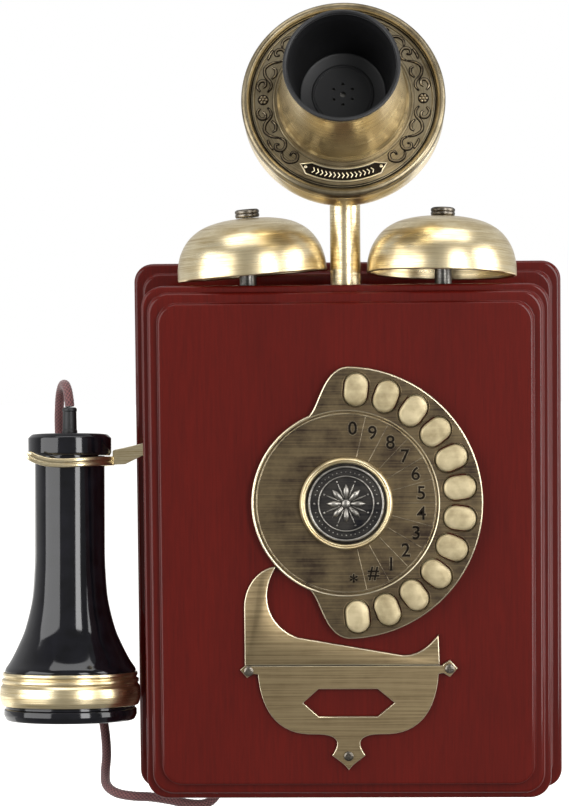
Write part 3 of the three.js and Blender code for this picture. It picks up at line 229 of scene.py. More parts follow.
def lacquered_mahogany(name, along=2):
    """Red-stained mahogany under gloss lacquer: fine streaks, small dark pores and a clear coat."""
    wood = bpy.context.scene.telephone_wood
    material, tree, shader = begin_material(
        name, Roughness=0.5, Coat_Weight=0.4, Coat_Roughness=0.08, Specular_IOR_Level=0.06)
    place = add_node(tree, "ShaderNodeTexCoord").outputs["Object"]

    def streaks(width, stretch, detail):
        scale = [1 / width] * 3
        scale[along] = 1 / (width * stretch)
        mapped = add_node(tree, "ShaderNodeMapping", inputs={"Vector": place, "Scale": scale})
        return add_node(tree, "ShaderNodeTexNoise", inputs={
            "Vector": mapped.outputs[0], "Scale": 1, "Detail": detail, "Roughness": 0.6}).outputs["Fac"]

    grain = add_node(tree, "ShaderNodeValToRGB", {
        "stops": [(0.3, wood.deep), (0.62, wood.stain)]}, {"Fac": streaks(wood.grain, 18, 4)})
    cloud = add_node(tree, "ShaderNodeValToRGB", {
        "stops": [(0.3, grey(0.86)), (0.7, grey(1))]}, {"Fac": streaks(wood.grain * 22, 4, 2)})
    pore = add_node(tree, "ShaderNodeValToRGB", {
        "stops": [(0.32, grey(0.2)), (0.4, grey(0))]}, {"Fac": streaks(wood.grain * 0.45, 22, 2)})
    tone = add_node(tree, "ShaderNodeMix", {"data_type": "RGBA", "blend_type": "MULTIPLY"}, {
        0: 1.0, 6: grain.outputs[0], 7: cloud.outputs[0]})
    whole = add_node(tree, "ShaderNodeMix", {"data_type": "RGBA"}, {
        0: pore.outputs[0], 6: tone.outputs[2], 7: tuple(wood.pore)})
    tree.links.new(whole.outputs[2], shader.inputs["Base Color"])
    relief(tree, shader, streaks(wood.grain, 10, 3), 0.05, 0.04)
    return material


def brushed_metal(name, light, dark, roughness, turned=None, pitch=0.6, wear=0.5, scratch=0.1, bare=1):
    """Metal with fine brush marks and a mottled patina. With a turned frame, the marks run round
    that frame's Z axis, as on a lathe; without one they run along X. The pitch is in millimetres,
    and a share under 1 of bare metal gives the milky look of a matt lacquer."""
    material, tree, shader = begin_material(name, Metallic=bare)
    place = add_node(tree, "ShaderNodeTexCoord").outputs["Object"]
    if turned is None:
        marks = add_node(tree, "ShaderNodeMapping", inputs={
            "Vector": place, "Scale": (1 / (70 * pitch * MM), 1 / (pitch * MM), 1 / (pitch * MM))}).outputs[0]
    else:
        local = add_node(tree, "ShaderNodeMapping", {"vector_type": "TEXTURE"}, {
            "Vector": place, "Location": turned.to_translation(), "Rotation": turned.to_euler()}).outputs[0]
        flat = add_node(tree, "ShaderNodeVectorMath", {"operation": "MULTIPLY"}, {
            0: local, 1: (1, 1, 0)}).outputs[0]
        radius = add_node(tree, "ShaderNodeVectorMath", {"operation": "LENGTH"}, {0: flat}).outputs["Value"]
        height = add_node(tree, "ShaderNodeSeparateXYZ", inputs={0: local}).outputs["Z"]
        across = add_node(tree, "ShaderNodeMath", {"operation": "MULTIPLY_ADD"}, {
            0: height, 1: 1.3, 2: radius}).outputs[0]
        fine = add_node(tree, "ShaderNodeMath", {"operation": "MULTIPLY"}, {
            0: across, 1: 1 / (pitch * MM)}).outputs[0]
        round_it = add_node(tree, "ShaderNodeVectorMath", {"operation": "NORMALIZE"}, {0: flat}).outputs[0]
        heading = add_node(tree, "ShaderNodeSeparateXYZ", inputs={0: round_it})
        marks = add_node(tree, "ShaderNodeCombineXYZ", inputs={
            "X": fine, "Y": heading.outputs["X"], "Z": heading.outputs["Y"]}).outputs[0]
    streak = add_node(tree, "ShaderNodeTexNoise", inputs={
        "Vector": marks, "Scale": 1, "Detail": 4, "Roughness": 0.65}).outputs["Fac"]
    blotch = add_node(tree, "ShaderNodeTexNoise", inputs={
        "Vector": place, "Scale": 1 / (14 * MM), "Detail": 4, "Roughness": 0.6}).outputs["Fac"]
    mixed = add_node(tree, "ShaderNodeMix", {"data_type": "FLOAT"},
        {0: wear, 2: streak, 3: blotch}).outputs[0]
    tone = add_node(tree, "ShaderNodeValToRGB", {"stops": [(0.36, dark), (0.6, light)]}, {"Fac": mixed})
    tree.links.new(tone.outputs[0], shader.inputs["Base Color"])
    rough = add_node(tree, "ShaderNodeMapRange", inputs={
        "Value": mixed, "From Min": 0.3, "From Max": 0.7, "To Min": roughness + 0.12, "To Max": roughness})
    tree.links.new(rough.outputs[0], shader.inputs["Roughness"])
    relief(tree, shader, streak, scratch, 0.06)
    return material


def brass(name, turned=None):
    """Antique brass, brushed and lacquered: warm gold with a brown patina in the brush marks."""
    metal = bpy.context.scene.telephone_metal
    return brushed_metal(name, metal.brass, metal.brass_dark, 0.24, turned, 0.45, 0.2, 0.08)


def plate_brass(name):
    """Sheet brass brushed along its length, with coarser marks that show as level streaks."""
    metal = bpy.context.scene.telephone_metal
    return brushed_metal(name, metal.sheet, metal.sheet_dark, 0.33, None, 0.9, 0.25, 0.2)


def dial_bronze(name):
    """Cast bronze with a dark, streaky patina that is rubbed lighter in places."""
    metal = bpy.context.scene.telephone_metal
    return brushed_metal(name, metal.bronze, metal.bronze_dark, 0.36, None, 0.8, 0.55, 0.2)


def satin_pale_brass(name):
    """Polished pale brass of the button caps, with a slight cloudy tarnish."""
    metal = bpy.context.scene.telephone_metal
    return brushed_metal(name, metal.cream, metal.cream_dark, 0.42, None, 3.5, 0.8, 0.03, 0.45)


def worn_metal(name):
    """Edges and raised lines that fingers and polishing have rubbed bright."""
    metal = bpy.context.scene.telephone_metal
    return brushed_metal(name, metal.worn, metal.brass, 0.28, None, 1.5, 0.5, 0.05)


def rubbed_metal(name):
    """Raised lines that are rubbed only half bright."""
    metal = bpy.context.scene.telephone_metal
    return brushed_metal(name, metal.rubbed, metal.bronze_dark, 0.35, None, 1.5, 0.5, 0.05)


def tarnished_metal(name):
    """The nearly black ground left between raised details."""
    metal = bpy.context.scene.telephone_metal
    return brushed_metal(name, metal.tarnish, linear("#15120f"), 0.5, None, 1.5, 0.5, 0.05)


def ring_brass(name, turned):
    """The darker, khaki brass of the transmitter's ring, turned on a lathe."""
    metal = bpy.context.scene.telephone_metal
    return brushed_metal(name, metal.ring, metal.ring_dark, 0.3, turned, 0.5, 0.5)


def pewter_relief(name):
    """The light, raised parts of the medallion."""
    metal = bpy.context.scene.telephone_metal
    return brushed_metal(name, metal.pewter, metal.pewter_dark, 0.32, None, 1.2, 0.6, 0.05)


def pewter_ground(name):
    """The dark ground behind the medallion's relief."""
    metal = bpy.context.scene.telephone_metal
    return brushed_metal(name, metal.pewter_dark, linear("#1d1d21"), 0.45, None, 1, 0.6, 0.15)


def satin_nickel_steel(name):
    """Satin nickel-plated steel of the posts, nuts and works."""
    metal = bpy.context.scene.telephone_metal
    return brushed_metal(name, metal.steel, linear("#4c4a47"), 0.25, None, 0.7, 0.5, 0.08)


def tarnished_steel(name):
    """Nickel-plated steel gone dark, with bright rings where it has been turned."""
    return brushed_metal(name, linear("#8a8378"), linear("#2b2723"), 0.28, None, 0.9, 0.6, 0.1)


def winding_wire(name):
    """Enamelled copper wire, wound in close turns 0.35 mm apart round each coil."""
    material, tree, shader = begin_material(name, Metallic=1, Roughness=0.35)
    place = add_node(tree, "ShaderNodeTexCoord").outputs["Object"]
    turns = add_node(tree, "ShaderNodeTexWave", {"bands_direction": "Z"}, {
        "Vector": place, "Scale": 1 / (2.2 * MM), "Distortion": 0.2, "Detail": 1})
    # Painted shade: the dark stop falls between the turns, the copper colour on them.
    tone = add_node(tree, "ShaderNodeValToRGB", {
        "stops": [(0.1, linear("#4a1f10")), (0.8, linear("#b8683a"))]}, {"Fac": turns.outputs["Fac"]})
    tree.links.new(tone.outputs[0], shader.inputs["Base Color"])
    relief(tree, shader, turns.outputs["Fac"], 0.5, 0.15)
    return material


def moulded_plastic(name, light, dark, roughness, texture, depth):
    """Moulded phenolic or ABS: an even colour with a faint mottle and a moulding texture of a
    given size and depth in millimetres."""
    material, tree, shader = begin_material(name, Roughness=roughness)
    place = add_node(tree, "ShaderNodeTexCoord").outputs["Object"]
    mottle = add_node(tree, "ShaderNodeTexNoise", inputs={
        "Vector": place, "Scale": 1 / (9 * MM), "Detail": 3})
    tone = add_node(tree, "ShaderNodeValToRGB", {
        "stops": [(0.3, linear(dark)), (0.7, linear(light))]}, {"Fac": mottle.outputs["Fac"]})
    tree.links.new(tone.outputs[0], shader.inputs["Base Color"])
    skin = add_node(tree, "ShaderNodeTexNoise", inputs={
        "Vector": place, "Scale": 1 / (texture * MM), "Detail": 2})
    relief(tree, shader, skin.outputs["Fac"], 0.3, depth)
    return material


def gloss_black(name):
    """Polished black phenolic: deep black with sharp reflections that waver very slightly."""
    return moulded_plastic(name, "#131318", "#08080b", 0.09, 14, 0.03)


def satin_black(name):
    """Moulded black plastic with a fine spark texture, as on plugs and mouthpiece cups."""
    return moulded_plastic(name, "#0d0d0f", "#070708", 0.5, 0.7, 0.02)


def green_solder_mask(name):
    """Glass-fibre circuit board under green solder mask, with the weave just showing."""
    return moulded_plastic(name, "#2a7043", "#175030", 0.4, 0.8, 0.03)


def woven_braid(name):
    """Cotton braid: the UV map's U runs round the cord and V along it, in crossings."""
    cord = bpy.context.scene.telephone_cord
    material, tree, shader = begin_material(name, Roughness=0.75, Sheen_Weight=0.4)
    place = add_node(tree, "ShaderNodeUVMap", {"uv_map": "braid"}).outputs[0]
    spread = add_node(tree, "ShaderNodeAttribute", {"attribute_name": "raised"}).outputs["Fac"]
    fibre = add_node(tree, "ShaderNodeMapping", inputs={"Vector": place, "Scale": (60, 6, 1)}).outputs[0]
    fuzz = add_node(tree, "ShaderNodeTexNoise",
        inputs={"Vector": fibre, "Scale": 1, "Detail": 3}).outputs["Fac"]
    # Painted shade: the low parts between the strands, where the raised value is small, go dark.
    light = add_node(tree, "ShaderNodeMath", {"operation": "MULTIPLY"}, {0: spread, 1: fuzz}).outputs[0]
    tone = add_node(tree, "ShaderNodeValToRGB", {
        "stops": [(0.1, tuple(cord.shade)), (0.5, tuple(cord.thread))]}, {"Fac": light})
    tree.links.new(tone.outputs[0], shader.inputs["Base Color"])
    relief(tree, shader, fuzz, 0.5, 0.08)
    return material


# ---- Modelling tools --------------------------------------------------------------------------
def deselect():
    bpy.ops.object.select_all(action="DESELECT")


def pick(*pieces):
    """Selects these pieces alone and makes the first one active."""
    deselect()
    for piece in pieces:
        piece.select_set(True)
    bpy.context.view_layer.objects.active = pieces[0]


def select_where(piece, test, kind="faces"):
    """In edit mode, selects the faces, edges or verts that a test picks, and says how many."""
    bpy.ops.mesh.select_all(action="DESELECT")
    bpy.ops.mesh.select_mode(type={"faces": "FACE", "edges": "EDGE", "verts": "VERT"}[kind])
    mesh = bmesh.from_edit_mesh(piece.data)
    chosen = [element for element in getattr(mesh, kind) if test(element)]
    for element in chosen:
        element.select_set(True)
    bmesh.update_edit_mesh(piece.data)
    return len(chosen)


def begin(name):
    """One vertex at the origin, in edit mode, as the start of a drawn line."""
    deselect()
    bpy.ops.mesh.primitive_plane_add(size=MM)
    piece = bpy.context.object
    piece.name = piece.data.name = name
    bpy.ops.object.mode_set(mode="EDIT")
    bpy.ops.mesh.select_mode(type="VERT")
    bpy.ops.mesh.select_all(action="SELECT")
    bpy.ops.mesh.merge(type="CENTER")
    return piece


def draw(points):
    """Moves the start to the first point and extrudes it through the others, in millimetres."""
    points = [Vector(point) for point in points]
    bpy.ops.transform.translate(value=points[0] * MM)
    for here, there in zip(points, points[1:]):
        bpy.ops.mesh.extrude_vertices_move(TRANSFORM_OT_translate={"value": (there - here) * MM})


def settle(piece, place, *finishes, angle=32):
    """Leaves edit mode, puts the mesh in its place, adds its finishes and smooths it."""
    bpy.ops.object.mode_set(mode="OBJECT")
    piece.data.transform(place)
    for material in finishes:
        piece.data.materials.append(material)
    pick(piece)
    bpy.ops.object.shade_smooth_by_angle(angle=radians(angle))
    return piece


def outward():
    bpy.ops.mesh.select_all(action="SELECT")
    bpy.ops.mesh.remove_doubles(threshold=0.004 * MM)
    bpy.ops.mesh.normals_make_consistent(inside=False)


def eased(points, closed=False):
    """An outline in which a point with a third value is a corner rounded to that radius."""
    drawn = []
    for k, (x, y, *radius) in enumerate(points):
        corner = Vector((x, y))
        if not radius or (not closed and k in (0, len(points) - 1)):
            drawn.append(corner)
            continue
        before = Vector(points[k - 1][:2]) - corner
        after = Vector(points[(k + 1) % len(points)][:2]) - corner
        reach = min(radius[0] / tan(before.angle(after) / 2), 0.49 * before.length, 0.49 * after.length)
        start = corner + before.normalized() * reach
        end = corner + after.normalized() * reach
        for step in range(EASE_STEPS + 1):
            t = step / EASE_STEPS
            drawn.append(start * (1 - t) ** 2 + corner * 2 * t * (1 - t) + end * t ** 2)
    return drawn


def bezier(start, first, second, end):
    """Points along a bezier curve after its start."""
    drawn = []
    for step in range(1, CURVE_STEPS + 1):
        t = step / CURVE_STEPS
        weights = ((1 - t) ** 3, 3 * t * (1 - t) ** 2, 3 * t * t * (1 - t), t ** 3)
        drawn.append(sum((Vector(p) * w for p, w in zip((start, first, second, end), weights)),
            Vector((0, 0))))
    return drawn


def arc(radius, first, last, steps=24, centre=(0, 0)):
    """Points on a circle between two angles in degrees from +X, turning towards +Y."""
    drawn = []
    for step in range(steps + 1):
        angle = radians(first + (last - first) * step / steps)
        drawn.append(Vector((centre[0] + radius * cos(angle), centre[1] + radius * sin(angle))))
    return drawn


def through(points, steps=6):
    """A smooth line through a few points, by Catmull and Rom's rule."""
    spots = [Vector(point) for point in points]
    spots = [2 * spots[0] - spots[1], *spots, 2 * spots[-1] - spots[-2]]
    drawn = []
    for a, b, c, d in zip(spots, spots[1:], spots[2:], spots[3:]):
        for step in range(steps):
            t = step / steps
            drawn.append(0.5 * (2 * b + (c - a) * t + (2 * a - 5 * b + 4 * c - d) * t ** 2
                                + (3 * b - a - 3 * c + d) * t ** 3))
    return [*drawn, spots[-2]]


def stadium(width, length):
    """A slot's outline with round ends, long in Y."""
    radius = width / 2
    straight = length / 2 - radius
    return arc(radius, 0, 180, 16, (0, straight)) + arc(radius, 180, 360, 16, (0, -straight))


def turned(name, outline, place, *finishes, sides=FINE, angle=32):
    """A solid of revolution round the local Z axis from (radius, height) points."""
    piece = begin(name)
    draw([(point[0], 0, point[1]) for point in outline])
    bpy.ops.mesh.select_all(action="SELECT")
    bpy.ops.mesh.spin(steps=sides, angle=2 * pi, center=(0, 0, 0), axis=(0, 0, 1))
    outward()
    return settle(piece, place, *finishes, angle=angle)


def slab(name, outline, thick, place, *finishes, edge=0, segments=2, cutters=(), angle=32):
    """A flat piece: an outline in local X and Y, thickened along +Z and cut. The edges of its
    front are bevelled, and the bevel takes the second finish."""
    piece = begin(name)
    draw([(x, y, 0) for x, y in outline])
    bpy.ops.mesh.select_all(action="SELECT")
    bpy.ops.mesh.edge_face_add()
    bpy.ops.mesh.extrude_region_move(TRANSFORM_OT_translate={"value": (0, 0, thick * MM)})
    outward()
    bpy.ops.object.mode_set(mode="OBJECT")
    for cutter in cutters:
        cut(piece, cutter)
    pick(piece)
    bpy.ops.object.mode_set(mode="EDIT")
    for material in finishes:
        piece.data.materials.append(material)
    if edge:
        front = thick * MM

        def on_rim(line):
            level = all(abs(vertex.co.z - front) < 1e-6 for vertex in line.verts)
            return level and any(abs(face.normal.z) < 0.5 for face in line.link_faces)

        select_where(piece, on_rim, "edges")
        bpy.ops.mesh.bevel(offset=edge * MM, segments=segments, affect="EDGES", clamp_overlap=True)
        if len(finishes) > 1:
            mesh = bmesh.from_edit_mesh(piece.data)
            for face in mesh.faces:
                steep = abs(face.normal.z) < 0.985
                low = face.calc_center_median().z > (thick - edge) * MM - 1e-5
                face.material_index = 1 if steep and low else 0
            bmesh.update_edit_mesh(piece.data)
    bpy.ops.mesh.select_all(action="SELECT")
    bpy.ops.mesh.normals_make_consistent(inside=False)
    return settle(piece, place, angle=angle)


def block(name, low, high, edge, *finishes, place=Matrix(), segments=2):
    """A box between two corners in millimetres, with all its edges bevelled."""
    low, high = Vector(low), Vector(high)
    deselect()
    bpy.ops.mesh.primitive_cube_add(size=1)
    piece = bpy.context.object
    piece.name = piece.data.name = name
    bpy.ops.object.mode_set(mode="EDIT")
    bpy.ops.transform.resize(value=(high - low) * MM, center_override=(0, 0, 0))
    bpy.ops.transform.translate(value=(high + low) / 2 * MM)
    if edge:
        bpy.ops.mesh.select_all(action="SELECT")
        bpy.ops.mesh.bevel(offset=edge * MM, segments=segments, affect="EDGES")
    return settle(piece, place, *finishes)


def bead(name, points, radius, finish_of, place=Matrix(), widths=None, closed=False, rings=2):
    """A round line through points, such as a raised stroke. Widths scale the radius along it."""
    deselect()
    bpy.ops.curve.primitive_nurbs_path_add()
    piece = bpy.context.object
    piece.name = piece.data.name = name
    curve = piece.data
    curve.splines.clear()
    line = curve.splines.new("POLY")
    line.points.add(len(points) - 1)
    for k, (spot, point) in enumerate(zip(line.points, points)):
        spot.co = (*(Vector(point).to_3d() * MM), 1)
        spot.radius = widths[k] if widths else 1
    line.use_cyclic_u = closed
    curve.bevel_depth = radius * MM
    curve.bevel_resolution = rings
    curve.use_fill_caps = True
    pick(piece)
    bpy.ops.object.convert(target="MESH")
    piece = bpy.context.object
    piece.data.transform(place)
    piece.data.materials.append(finish_of)
    bpy.ops.object.shade_smooth_by_angle(angle=radians(60))
    return piece


def ball(name, centre, radius, height, material, place=Matrix()):
    """A flattened dome on a surface, centred on a point of it."""
    steps = 6
    outline = [(radius * cos(pi / 2 * k / steps), height * sin(pi / 2 * k / steps)) for k in range(steps + 1)]
    outline = [(0, -height / 2), (radius, -height / 2), *outline]
    return turned(name, outline, place @ Matrix.Translation(Vector(centre) * MM), material, sides=16)


def cut(piece, cutter):
    """Takes the cutter's shape out of the piece and removes the cutter."""
    modifier = piece.modifiers.new("Cut", "BOOLEAN")
    modifier.object = cutter
    modifier.operation = "DIFFERENCE"
    modifier.solver = "EXACT"
    pick(piece)
    bpy.ops.object.modifier_apply(modifier="Cut")
    bpy.ops.object.shade_smooth_by_angle(angle=radians(32))
    bpy.data.objects.remove(cutter, do_unlink=True)


def join(name, *pieces):
    """Joins pieces into the first one."""
    pick(*pieces)
    bpy.ops.object.join()
    piece = bpy.context.object
    piece.name = piece.data.name = name
    return piece


def copy_of(piece, name, place):
    """A copy with its own mesh, moved by a matrix."""
    twin = piece.copy()
    twin.data = piece.data.copy()
    twin.name = twin.data.name = name
    twin.data.transform(place)
    bpy.context.collection.objects.link(twin)
    return twin


def belong(piece, body, slot, *nodes):
    """The piece rides on a body, takes a slot's finish and stands for CAD nodes."""
    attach(piece, body)
    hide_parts(*nodes)
    return piece


def span(node):
    """Lowest and highest corner of a CAD node in millimetres."""
    low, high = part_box(node)
    return low / MM, high / MM


def middle(node):
    low, high = span(node)
    return (low + high) / 2


def facing(y, x=0, z=0):
    """A frame on the front: local X to the right, Y up and Z out of the wall."""
    return Matrix.Translation(Vector((x, y, z)) * MM) @ Matrix.Rotation(pi / 2, 4, "X")


def head_frame():
    """The transmitter's frame: its origin is on the tilting axis and Z looks forward."""
    pivot = next(joint for joint in frame["joints"] if joint["name"] == "transmitter_tilt")["pos_m"]
    return Matrix.Translation(pivot) @ Matrix.Rotation(pi / 2 - HEAD_TILT, 4, "X")


def receiver_frame():
    """The receiver's frame: its origin is under the flange and Z runs up its axis."""
    return Matrix.Translation(HANG * MM) @ Matrix.Rotation(-HANG_TILT, 4, "X")


# ---- Stage ------------------------------------------------------------------------------------
def add_camera(stage):
    """The camera, 1.4 m in front of the panel and a little above it."""
    eye = Vector((0.020, -1.496, 0.166))
    aim = Vector((-0.0315, -0.096, 0.074))
    roll = radians(-0.55)
    deselect()
    bpy.ops.object.camera_add(location=eye)
    camera = bpy.context.object
    camera.name = "camera"
    camera.data.sensor_fit = "HORIZONTAL"
    camera.data.sensor_width = 36
    camera.data.lens = stage.lens
    turn = (aim - eye).to_track_quat("-Z", "Y").to_matrix().to_4x4()
    camera.matrix_world = Matrix.Translation(eye) @ turn @ Matrix.Rotation(roll, 4, "Z")
    bpy.context.scene.camera = camera


def add_floor(stage):
    """A plain pale floor that turns up softly at its far edge."""
    low = CAD_BOX[0].z - stage.drop
    deselect()
    bpy.ops.mesh.primitive_plane_add(size=6, location=(0, 3.1, low))
    floor = bpy.context.object
    floor.name = "floor"
    material, tree, shader = begin_material("studio_floor", Roughness=0.9, Emission_Strength=0.9)
    place = add_node(tree, "ShaderNodeTexCoord").outputs["Object"]
    cloth = add_node(tree, "ShaderNodeTexNoise", inputs={"Vector": place, "Scale": 3, "Detail": 2})
    tone = add_node(tree, "ShaderNodeValToRGB", {
        "stops": [(0, linear("#eeedea")), (1, tuple(stage.floor))]}, {"Fac": cloth.outputs["Fac"]})
    tree.links.new(tone.outputs[0], shader.inputs["Base Color"])
    tree.links.new(tone.outputs[0], shader.inputs["Emission Color"])
    floor.data.materials.append(material)


def add_lights():
    """Softboxes left, right and above, in a grey room whose backdrop is white."""
    boxes = [
        ("left_softbox", (-1.4, -1.0, 0.30), (1.6, 1.6), 27),
        ("right_softbox", (0.66, -1.35, 0.30), (0.42, 1.4), 15),
        ("side_softbox", (1.35, -0.45, 0.30), (0.8, 1.3), 16),
        ("top_softbox", (0.0, -0.35, 1.35), (1.6, 0.7), 10),
    ]
    aim = Vector((-0.03, -0.06, 0.06))
    for name, spot, (width, height), power in boxes:
        deselect()
        bpy.ops.object.light_add(type="AREA", location=spot)
        light = bpy.context.object
        light.name = name
        light.data.shape = "RECTANGLE"
        light.data.size = width
        light.data.size_y = height
        light.data.energy = power
        light.visible_camera = False
        turn = (aim - Vector(spot)).to_track_quat("-Z", "Y").to_matrix().to_4x4()
        light.matrix_world = Matrix.Translation(spot) @ turn
    world = bpy.data.worlds.new("studio")
    bpy.context.scene.world = world
    world.use_nodes = True
    tree = world.node_tree
    tree.nodes.clear()
    seen = add_node(tree, "ShaderNodeLightPath").outputs["Is Camera Ray"]
    ahead = add_node(tree, "ShaderNodeTexCoord").outputs["Generated"]
    towards_wall = add_node(tree, "ShaderNodeSeparateXYZ", inputs={0: ahead}).outputs["Y"]
    from_front = add_node(tree, "ShaderNodeMapRange", inputs={
        "Value": towards_wall, "From Min": -1, "From Max": 1}).outputs[0]
    shade = add_node(tree, "ShaderNodeValToRGB", {
        "stops": [(0, grey(0.3)), (0.3, grey(0.2)), (0.48, grey(0.35)), (0.7, grey(0.62))]},
        {"Fac": from_front})
    room = add_node(tree, "ShaderNodeBackground", inputs={"Color": shade.outputs[0], "Strength": 1})
    backdrop = add_node(tree, "ShaderNodeBackground", inputs={"Color": grey(1), "Strength": 1})
    both = add_node(tree, "ShaderNodeMixShader", inputs={0: seen, 1: room.outputs[0], 2: backdrop.outputs[0]})
    add_node(tree, "ShaderNodeOutputWorld", inputs={"Surface": both.outputs[0]})


def make_stage(context):
    stage = context.scene.telephone_stage
    context.scene.view_settings.view_transform = "Standard"
    add_camera(stage)
    add_floor(stage)
    add_lights()


# ---- Cord -------------------------------------------------------------------------------------
def make_cord(context):
    """The braided cord as one tube, with the strands of its braid standing out of it."""
    cord = context.scene.telephone_cord
    sides, ridge = 32, 0.26
    route = through(CORD_ROUTE, 26)
    piece = bpy.data.meshes.new("handset_cord")
    radius = cord.diameter / MM / 2 - ridge
    along = [0.0]
    for here, there in zip(route, route[1:]):
        along.append(along[-1] + (there - here).length)
    side = Vector((0, 1, 0))
    points, raised, spots = [], [], []
    for k, centre in enumerate(route):
        ahead = (route[min(k + 1, len(route) - 1)] - route[max(k - 1, 0)]).normalized()
        side = (side - ahead * side.dot(ahead)).normalized()
        other = ahead.cross(side)
        for j in range(sides):
            angle = 2 * pi * j / sides
            turn = cord.strands * angle / 2
            travel = pi * along[k] * MM / cord.braid
            left, right = sin(turn + travel), sin(turn - travel)
            lift = max(abs(left), abs(right)) ** 2 * 0.6 + 0.4 * abs(left * right)
            reach = radius + ridge * lift
            points.append((centre + (side * cos(angle) + other * sin(angle)) * reach) * MM)
            raised.append(lift)
            spots.append((angle / (2 * pi), along[k] * MM / cord.braid))
    rings = len(route)
    faces = [(k * sides + j, k * sides + (j + 1) % sides, (k + 1) * sides + (j + 1) % sides,
        (k + 1) * sides + j)
             for k in range(rings - 1) for j in range(sides)]
    faces += [tuple(reversed(range(sides))), tuple((rings - 1) * sides + j for j in range(sides))]
    piece.from_pydata(points, [], faces)
    # The lift of each point is kept as raised, which the braid's material turns into painted shade between
    # the strands.
    attribute = piece.attributes.new("raised", "FLOAT", "POINT")
    attribute.data.foreach_set("value", raised)
    chart = piece.uv_layers.new(name="braid")
    for polygon in piece.polygons:
        for corner in polygon.loop_indices:
            u, v = spots[piece.loops[corner].vertex_index]
            if polygon.index % sides == sides - 1 and u == 0:
                u = 1
            chart.data[corner].uv = (u, v)
    tube = bpy.data.objects.new("handset_cord", piece)
    context.collection.objects.link(tube)
    pick(tube)
    bpy.ops.object.mode_set(mode="EDIT")
    bpy.ops.mesh.select_all(action="SELECT")
    bpy.ops.mesh.normals_make_consistent(inside=False)
    settle(tube, Matrix(), finish("cotton_braid", woven_braid), angle=60)
    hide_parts("handset_cord_upper", "handset_cord_lower")
    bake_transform(tube)


# ---- Wooden box -------------------------------------------------------------------------------
def moulded_board(name, node, corner, steps, cutters=()):
    """A board with rounded corners, whose edge follows (inset, height) steps from the rear."""
    low, high = span(node)
    width, height = high.x - low.x, high.z - low.z
    deselect()
    bpy.ops.mesh.primitive_plane_add(size=1)
    piece = bpy.context.object
    piece.name = piece.data.name = name
    bpy.ops.object.mode_set(mode="EDIT")
    bpy.ops.transform.resize(value=(width * MM, height * MM, 1), center_override=(0, 0, 0))
    bpy.ops.mesh.bevel(offset=corner * MM, segments=10, affect="VERTICES")
    bpy.ops.mesh.select_mode(type="FACE")
    bpy.ops.mesh.select_all(action="SELECT")
    last_inset, last_level = 0, 0
    for inset, level in eased(steps):
        bpy.ops.mesh.extrude_region_move(TRANSFORM_OT_translate={"value": (0, 0, (level - last_level) * MM)})
        share = ((width - 2 * inset) / (width - 2 * last_inset),
            (height - 2 * inset) / (height - 2 * last_inset), 1)
        bpy.ops.transform.resize(value=share, center_override=(0, 0, level * MM))
        last_inset, last_level = inset, level
    outward()
    settle(piece, facing(high.y), finish("lacquered_mahogany", lacquered_mahogany), angle=40)
    for cutter in cutters:
        cut(piece, cutter)
    return piece


def hidden_block(low, high):
    return block("cutter", low, high, 0)


def make_wood(context):
    """Back board, front panel and the four boards between them."""
    wood = context.scene.telephone_wood
    ease = wood.ease / MM
    low, high = span("hanger_plate")
    recess = hidden_block(low - Vector((GAP, GAP, GAP)), high + Vector((GAP, 2, GAP)))
    pocket = hidden_block((-10, -4, (low.z + high.z) / 2 - 11), (10, 1, (low.z + high.z) / 2 + 11))
    back = moulded_board("back_board", "back_board", 10, [
        (0.6, 0), (0, 0.6), (0, 10, 2.2), (5, 10, 0.5), (5.5, 10.8, 0.4), (5.5, 18, 2), (8.5, 18)],
        [recess, pocket])
    belong(back, "root", "lacquered_wood", "back_board")
    centre = middle("dial_bezel")
    reach, half = 59, 4.5
    arc_slot = arc(reach + half, 92, -85, 40) + arc(reach - half, -85, 92, 40)
    slot = slab("cutter", arc_slot, 40, facing(-60, 0, centre.z))
    front = moulded_board("front_panel", "front_panel", 11, [
        (0.5, 0), (0, 0.5), (0, 9, 2.2), (3.3, 9, 0.4), (3.5, 9.6, 0.4), (3.5, 14, 2.2), (8.6, 14, 0.6),
        (9, 14.8, 0.6), (9, 18, 1.9), (12, 18)], [slot])
    belong(front, "root", "lacquered_wood", "front_panel")
    boards = ("side_board_left", "side_board_right", "top_board", "bottom_board")
    for node in boards:
        low, high = span(node)
        upright = node.startswith("side")
        material = finish("lacquered_mahogany", lacquered_mahogany) if upright else finish(
            "lacquered_mahogany_level", lacquered_mahogany, 0)
        piece = block(node, low, high, ease, material)
        for cutter in board_cutters(node):
            cut(piece, cutter)
        belong(piece, "root", "lacquered_wood", node)


def board_cutters(node):
    """The openings in one of the four boards: lever slot, stem and post holes, inlets."""
    low, high = span(node)
    if node == "side_board_left":
        return [hidden_block((low.x - 1, HANG.y - 2.95, 43.4), (high.x + 1, HANG.y + 2.95, 56.6))]
    if node == "top_board":
        gong = middle("gong_post_left")
        back = middle("clapper").y
        holes = [turned("cutter", [(0, low.z - 1), (r, low.z - 1), (r, high.z + 1), (0, high.z + 1)],
                        Matrix.Translation((x * MM, gong.y * MM, 0)), sides=SMALL)
                 for x, r in ((0, 8.3), (-GONG_X, 2.7), (GONG_X, 2.7))]
        return [*holes, hidden_block((-7.7, back - 3, low.z - 1), (7.7, back + 3, high.z + 1))]
    if node == "bottom_board":
        gland, (jack_low, jack_high) = middle("cord_gland"), span("line_jack")
        hole = turned("cutter", [(0, low.z - 1), (3.8, low.z - 1), (3.8, high.z + 1), (0, high.z + 1)],
                      Matrix.Translation((gland.x * MM, gland.y * MM, 0)), sides=SMALL)
        return [hole, hidden_block((jack_low.x - GAP, jack_low.y - GAP, low.z - 1),
                                   (jack_high.x + GAP, jack_high.y + GAP, high.z + 1))]
    return []


